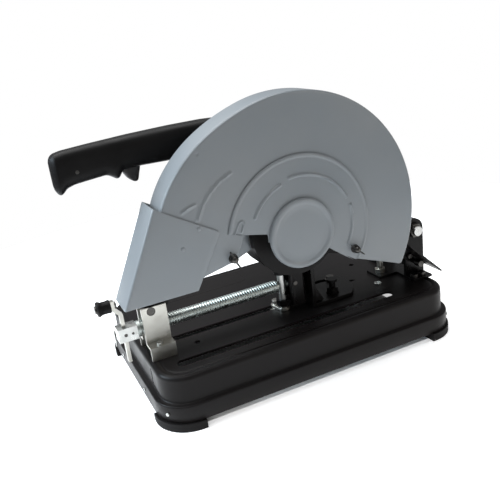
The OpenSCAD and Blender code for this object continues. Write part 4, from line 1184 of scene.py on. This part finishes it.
@dataclass
class Handle:
    """Two moulded handle shells with the trigger and the lock button.

    Attributes:
        frame: The loaded frame.
        shop: The finishes.
        middle: Y of the seam.
        half: Half the width.
    """

    frame: dict
    shop: FinishShop
    middle: float = -44.0
    half: float = 18.0

    def _levels(self, x: Array) -> tuple[Array, Array]:
        """Heights of the top line and the under line along the handle.

        Args:
            x: Stations.

        Returns:
            Top and under heights.
        """
        top = np.interp(x, [-300, -298, -293, -283, -250, -198, -140, -95, -50, -15, 15, 36,
                            46], [364, 369.5, 373, 375, 377.2, 379.8, 381.4, 381.5, 379,
                                  371, 357, 340, 326])
        low = np.interp(x, [-300, -298, -295, -291, -285, -275, -262, -234, -229, -221.5,
                            -217.5, -213, -188, -145, -80, -40, -14, 4, 46],
                        [332, 324, 320.6, 321.6, 328, 331, 332.3, 334.8, 332.5, 327,
                         327.6, 337, 338, 337, 333, 326, 316, 310.5, 310.5])
        return top, low

    def build(self) -> None:
        """Each shell is half a superellipse section carried along the handle."""
        ends = np.concatenate([-300 + 7 * (1 - np.cos(np.linspace(0, math.pi / 2, 8))),
                               np.linspace(-292, 40, 220),
                               46 - 5.6 * (1 - np.sin(np.linspace(0, math.pi / 2, 6)))])
        x = np.unique(np.round(ends, 4))
        top, low = self._levels(x)
        smooth = np.array([1, 2, 3, 2, 1]) / 9.0
        for arr in (top, low):
            arr[2:-2] = np.convolve(arr, smooth, "valid")
        mid, tall = (top + low) / 2, (top - low) / 2
        fat = self.half * (1 - 0.13 * smooth_step(np.abs(x + 110), 40, 190))
        fat *= np.sqrt(np.clip((x + 300.6) / 7.0, 0.02, 1))
        fat *= np.where(x > 36, 0.97, 1.0)
        cs, sn = superellipse(np.linspace(-math.pi / 2, math.pi / 2, 40), 3.2)
        seam = 0.15
        for sign, name, node in ((-1, "handle_near_moulding", "handle_near_shell"),
                                 (1, "handle_far_moulding", "handle_far_shell")):
            py = self.middle + sign * (seam + (fat[:, None] - seam) * cs[None, :])
            pz = mid[:, None] + (tall[:, None] - 0.35 * (cs[None, :] < 0.05)) * sn[None, :]
            px = x[:, None] + 0 * py
            part = Surface().grid(np.stack([px, py, pz], -1), wrap_cols=True, caps=True)
            obj = part.make(name, "head", self.shop["black_plastic"], [node])
            cut(obj, [self._window(-213.5, -186.5, 316, 346)])
            obj.data.set_sharp_from_angle(angle=math.radians(SHARP_DEG))
        self._seam_strip()
        self._trigger()
        refined(self.frame, "lock_button", "button", self.shop["button_plastic"], 0.8, 3)
        refined(self.frame, "handle_screws", "head", self.shop["dark_fastener"], 0.2, 2)

    def _window(self, x0: float, x1: float, z0: float, z1: float) -> bpy.types.Object:
        """Cutter for the trigger window."""
        y0, y1 = self.middle - 8.0, self.middle + 8.0
        box = np.array([[x0, y0], [x1, y0], [x1, y1], [x0, y1]])
        return prism(box, z0, z1)

    def _seam_strip(self) -> None:
        """Dark seam strip that closes the joint between the shells."""
        x = np.linspace(-297, 44, 90)
        top, low = self._levels(x)
        for k, span in enumerate((x < -216, x > -184)):
            xs = x[span]
            hi, lo = top[span] - 0.7, low[span] + 0.9
            ring = np.stack([np.stack([xs, np.full(xs.shape, self.middle + s * 0.6), h], -1)
                             for s, h in ((-1, hi), (1, hi), (1, lo), (-1, lo))], 1)
            Surface().grid(ring, wrap_cols=True, caps=True).make(
                f"handle_seam_{k + 1}", "head", self.shop["carbon"])

    def _trigger(self) -> None:
        """Finger trigger: a rounded section carried down its curved face."""
        z = np.array([352, 344, 338, 334, 330, 326, 322.5, 320, 318.9, 318.5])
        front = np.array([-212, -212, -212, -211.6, -210.2, -207.8, -204.5, -201, -199,
                          -197.5])
        back = np.array([-187.7, -187.7, -187.8, -188.8, -190.2, -191.4, -192.4, -193.6,
                         -195, -197])
        mid, wide = (front + back) / 2, (back - front) / 2
        cs, sn = superellipse(np.linspace(0, TAU, 40, endpoint=False), 4.0)
        fat = np.array([7, 7, 7, 7, 6.9, 6.8, 6.4, 5.4, 4.0, 1.0])
        pts = np.stack([mid[:, None] + wide[:, None] * cs, self.middle + fat[:, None] * sn,
                        z[:, None] + 0 * cs[None, :]], -1)
        part = Surface().grid(pts, wrap_cols=True, caps=True)
        part.make("trigger_moulding", "trigger_lever", self.shop["trigger_plastic"],
                  ["trigger"])


@dataclass
class Vise:
    """Quick-release screw vise: screw, crank, jaw and fence.

    Attributes:
        frame: The loaded frame.
        shop: The finishes.
        y: Axis of the screw.
        z: Height of the screw.
        pitch: Thread pitch.
        crest: Outer radius of the thread.
    """

    frame: dict
    shop: FinishShop
    y: float = -57.0
    z: float = 118.0
    pitch: float = 4.0
    crest: float = 9.5

    def screw(self) -> None:
        """Threaded rod: the radius is a rounded wave of the helix phase."""
        x = np.arange(-230.5, -17.0, 0.5)
        a = np.linspace(0, TAU, 40, endpoint=False)
        phase = (x[:, None] / self.pitch - a[None, :] / TAU) % 1.0
        wave = smooth_step(1 - np.abs(phase * 2 - 1), 0.25, 0.7)
        ends = smooth_step(x, -230.5, -228.5) * (1 - smooth_step(x, -19.5, -17.5))
        r = self.crest - 1.15 * (1 - wave * ends[:, None])
        pts = np.stack([x[:, None] + 0 * r, self.y + r * np.cos(a), self.z + r * np.sin(a)],
                       -1)
        part = Surface().grid(pts, wrap_cols=True, caps=True)
        part.lathe([(-250.0, 5.6), (-249.4, 6.0), (-230.0, 6.0)], (0, self.y, self.z), "X")
        part.lathe([(-17.5, 3.5), (1.0, 3.5), (1.4, 3.1), (1.5, 0.0001)],
                   (0, self.y, self.z), "X", 32)
        part.lathe([(-1.5, 0.0001), (-1.5, 4.6), (-1.1, 5.0), (1.1, 5.0), (1.5, 4.6)],
                   (0, self.y, self.z), "X", 32)
        part.make("vise_screw_threaded", "screw", self.shop["zinc_screw"], ["vise_screw"])
        part = Surface().lathe(
            [(-237.0, 6.0), (-237.0, 10.9), (-236.4, 11.5), (-232.1, 11.5),
             (-231.5, 10.9), (-231.5, 6.0)], (0, self.y, self.z), "X", 48)
        part.make("screw_collar_turned", "screw", self.shop["zinc_screw"],
                  ["screw_collar"])

    def grip(self) -> None:
        """Waisted crank grip with a flared end: a turned profile."""
        prof = [(0.0, 3.1), (0.0, 7.2), (0.5, 9.2), (1.6, 10.3), (3.4, 10.5), (5.0, 9.9),
                (7.0, 8.8), (10.0, 8.5), (13.5, 8.7), (16.5, 9.3), (18.2, 9.4), (18.9, 8.6),
                (18.9, 3.1)]
        part = Surface().lathe(prof, (-284.2, self.y, self.z + 44.0), "X", 48)
        ribs, rib_r = 8, 8.75
        for k in range(ribs):
            a = k * TAU / ribs
            ring = np.array([[-277.5 + t, self.y + rib_r * math.cos(a),
                              self.z + 44.0 + rib_r * math.sin(a)]
                             for t in np.linspace(0, 8, 6)])
            part.tube(ring, 0.7, 8)
        part.make("crank_grip_moulded", "grip", self.shop["black_plastic"], ["crank_grip"])

    def build(self) -> None:
        """Builds the screw and the grip and softens the rest."""
        self.screw()
        self.grip()
        for node, body, finish, width in (
                ("vise_bracket_near", "base", "zinc_plate", 0.8),
                ("vise_bracket_far", "base", "zinc_plate", 0.8),
                ("bracket_screws", "base", "zinc", 0.4),
                ("half_nut", "nut", "black_steel", 0.8),
                ("half_nut_pin", "base", "dark_fastener", 0.4),
                ("crank_hub", "screw", "zinc", 1.0),
                ("crank_arm", "screw", "zinc_plate", 0.9),
                ("crank_pins", "screw", "dark_fastener", 0.3),
                ("jaw_pin", "vise_carriage", "zinc", 0.7),
                ("pin_snap_ring", "vise_carriage", "dark_fastener", 0.3),
                ("jaw_guide", "vise_carriage", "zinc_plate", 0.6),
                ("vise_jaw", "jaw", "black_steel", 0.9),
                ("jaw_screw", "jaw", "dark_fastener", 0.3),
                ("fence", "fence_plate", "black_steel", 0.9),
                ("fence_pivot_bolt", "base", "black_steel", 0.7),
                ("fence_clamp_bolt", "clamp_bolt", "dark_fastener", 0.5)):
            refined(self.frame, node, body, self.shop[finish], width)


@dataclass
class Drive:
    """Gear case, motor, spindle and the rear pivot.

    Attributes:
        frame: The loaded frame.
        shop: The finishes.
    """

    frame: dict
    shop: FinishShop

    def spring(self) -> None:
        """Torsion spring: a round wire carried along a helix with two legs."""
        turns, pitch, radius = 4, 3.6, 13.5
        a = np.linspace(0, TAU * turns, 48 * turns) - math.pi / 2
        coil = np.column_stack([219 + radius * np.cos(a),
                                -24 + pitch * (a + math.pi / 2) / TAU,
                                156 + radius * np.sin(a)])
        leg_in = np.linspace([185.0, -24.0, 138.5], coil[0], 12)[:-1]
        leg_out = np.linspace(coil[-1], [223.0, coil[-1][1], 86.0], 14)[1:]
        part = Surface().tube(np.vstack([leg_in, coil, leg_out]), 1.6, 12)
        part.make("return_spring_coiled", "base", self.shop["spring_steel"],
                  ["return_spring"])

    def build(self) -> None:
        """Builds the spring and softens the castings, gears and bolts."""
        self.spring()
        for node, body, finish, width in (
                ("rear_bracket", "base", "black_steel", 1.0),
                ("bracket_bolts", "base", "dark_fastener", 0.5),
                ("pivot_shaft", "base", "ground_steel", 0.8),
                ("pivot_nuts", "base", "dark_fastener", 0.8),
                ("depth_stop_bolt", "base", "zinc_plate", 0.5),
                ("head_lock_pin", "lock_pin", "dark_fastener", 0.7),
                ("rear_spark_flap", "spark_flap", "black_steel", 0.5),
                ("flap_bolt", "flap_bolt", "dark_fastener", 0.5),
                ("gear_case", "head", "cast_black", 1.8),
                ("pivot_bushes", "head", "bronze", 0.4),
                ("motor_housing", "head", "black_plastic", 0.8),
                ("motor_end_cap", "head", "black_plastic", 0.8),
                ("motor_screws", "head", "dark_fastener", 0.5),
                ("brush_caps", "head", "black_plastic", 0.5),
                ("brushes", "head", "carbon", 0.3),
                ("stator", "head", "spring_steel", 0.4),
                ("ball_bearings", "head", "ground_steel", 0.3),
                ("armature", "armature_set", "spring_steel", 0.4),
                ("commutator", "armature_set", "copper", 0.2),
                ("motor_fan", "armature_set", "black_plastic", 0.4),
                ("pinion", "armature_set", "ground_steel", 0.2),
                ("spindle_gear", "spindle_set", "ground_steel", 0.2),
                ("spindle", "spindle_set", "ground_steel", 0.6),
                ("inner_flange", "spindle_set", "ground_steel", 0.8),
                ("outer_flange", "spindle_set", "ground_steel", 0.8),
                ("arbor_bolt", "spindle_set", "dark_fastener", 0.7)):
            refined(self.frame, node, body, self.shop[finish], width)


# --------------------------------------------------------------------------
# stage


@dataclass
class Studio:
    """Camera, floor and soft light.

    Attributes:
        position: Camera place in millimetres.
        yaw: Degrees to the right of +Y.
        pitch: Degrees above the horizon.
        roll: Degrees.
        focal: Lens in millimetres on a 36 mm sensor.
    """

    position: tuple[float, float, float] = (-385.0, -848.0, 504.0)
    yaw: float = 22.76
    pitch: float = -20.33
    roll: float = -7.23
    focal: float = 45.45

    def camera(self) -> None:
        """Places the camera from its yaw, pitch and roll."""
        yaw, pitch, roll = (math.radians(v) for v in (self.yaw, self.pitch, self.roll))
        ahead = Vector((math.sin(yaw) * math.cos(pitch), math.cos(yaw) * math.cos(pitch),
                        math.sin(pitch)))
        right = Vector((math.cos(yaw), -math.sin(yaw), 0.0))
        up = right.cross(ahead)
        side = right * math.cos(roll) + up * math.sin(roll)
        top = -right * math.sin(roll) + up * math.cos(roll)
        data = bpy.data.cameras.new("view")
        data.lens, data.sensor_width, data.sensor_fit = self.focal, 36.0, "HORIZONTAL"
        data.clip_start, data.clip_end = 0.02, 50.0
        cam = placed("view", data)
        turn = Matrix((side, top, -ahead)).transposed().to_4x4()
        cam.matrix_world = Matrix.Translation(Vector(self.position) * MM) @ turn
        bpy.context.scene.camera = cam

    def floor(self) -> None:
        """White sheet for the saw to stand on, plain where the base hides it.

        The sheet glows a little so that it meets the white backdrop unseen. The part
        under the base doesn't, so that the slots of the base stay dark.
        """
        radius, sides = 0.95, 96
        hidden = 0.94       # share of the base that the plain part lies under
        low, high = (Vector(corner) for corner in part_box("base_shell"))
        middle, half = (low + high) / 2, (high - low) / 2 * hidden
        angles = [k * TAU / sides for k in range(sides)]
        inner, outer = [], []
        for angle in angles:
            c, s = math.cos(angle), math.sin(angle)
            reach = min(half.x / max(abs(c), 1e-6), half.y / max(abs(s), 1e-6))
            inner.append((middle.x + reach * c, middle.y + reach * s, 0.0))
            outer.append((middle.x + radius * c, middle.y + radius * s, 0.0))
        ring = [(k, (k + 1) % sides, sides + (k + 1) % sides, sides + k)
                for k in range(sides)]
        mesh = bpy.data.meshes.new("floor")
        mesh.from_pydata(inner + outer, [], [tuple(range(sides))] + ring)
        for name, glow in (("floor_hidden", 0.0), ("floor_paper", 0.5)):
            mat = bpy.data.materials.new(name)
            mat.use_nodes = True
            shader = mat.node_tree.nodes["Principled BSDF"]
            shader.inputs["Base Color"].default_value = (0.93, 0.93, 0.93, 1.0)
            shader.inputs["Roughness"].default_value = 0.85
            shader.inputs["Emission Color"].default_value = (1.0, 1.0, 1.0, 1.0)
            shader.inputs["Emission Strength"].default_value = glow
            mesh.materials.append(mat)
        for face in mesh.polygons[1:]:
            face.material_index = 1
        placed("floor", mesh)

    def lights(self) -> None:
        """A wide top light, a cool light from the front left and a warm fill."""
        world = bpy.data.worlds.new("studio")
        bpy.context.scene.world = world
        world.use_nodes = True
        tree = world.node_tree
        back = tree.nodes["Background"]
        back.inputs["Color"].default_value = (0.96, 0.98, 1.0, 1.0)
        back.inputs["Strength"].default_value = 0.3
        seen = tree.nodes.new("ShaderNodeBackground")
        seen.inputs["Color"].default_value = (1.0, 1.0, 1.0, 1.0)
        seen.inputs["Strength"].default_value = 1.0
        path = tree.nodes.new("ShaderNodeLightPath")
        mix = tree.nodes.new("ShaderNodeMixShader")
        tree.links.new(path.outputs["Is Camera Ray"], mix.inputs[0])
        tree.links.new(back.outputs[0], mix.inputs[1])
        tree.links.new(seen.outputs[0], mix.inputs[2])
        tree.links.new(mix.outputs[0], tree.nodes["World Output"].inputs["Surface"])
        for name, place, aim, size, power, colour in (
                ("top", (-0.35, 0.45, 2.1), (0, 0, 0.1), 2.4, 62.0, (1.0, 1.0, 1.0)),
                ("left", (-1.5, 0.35, 1.0), (-0.15, -0.1, 0.2), 0.9, 30.0,
                 (0.74, 0.88, 1.0)),
                ("fill", (1.3, -1.9, 0.7), (0, 0, 0.2), 0.9, 6.0, (1.0, 0.93, 0.84))):
            data = bpy.data.lights.new(name, "AREA")
            data.shape, data.size, data.energy, data.color = "DISK", size, power, colour
            lamp = placed(name, data)
            way = Vector(aim) - Vector(place)
            lamp.matrix_world = (Matrix.Translation(Vector(place))
                                 @ way.to_track_quat("-Z", "Y").to_matrix().to_4x4())

    def build(self) -> None:
        """Sets up the view and the light."""
        self.camera()
        self.floor()
        self.lights()
        bpy.context.scene.view_settings.view_transform = "Standard"


def dress_remaining(frame: dict, shop: FinishShop) -> None:
    """Gives any CAD node still on show the finish that its record slot names.

    Args:
        shop: The finishes.
    """
    slots = {s["node"]: s["material_slot"] for s in frame["record"]["subparts"]}
    for name, obj in frame["nodes"].items():
        if obj.hide_render:
            continue
        slot = slots.get(name, "ground_steel")
        finish = shop.materials.get(slot, shop["ground_steel"])
        obj.data.materials.clear()
        obj.data.materials.append(finish)
        LOG.info("%s keeps its CAD shape", name)


def main() -> None:
    """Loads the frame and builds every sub-assembly."""
    logging.basicConfig(level=logging.INFO, format="%(name)s: %(message)s")
    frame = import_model()
    shop = FinishShop()
    Studio().build()
    Base(frame, shop).build()
    Guard(shop).build()
    Handle(frame, shop).build()
    Vise(frame, shop).build()
    Drive(frame, shop).build()
    dress_remaining(frame, shop)


if __name__ == "__main__":
    main()
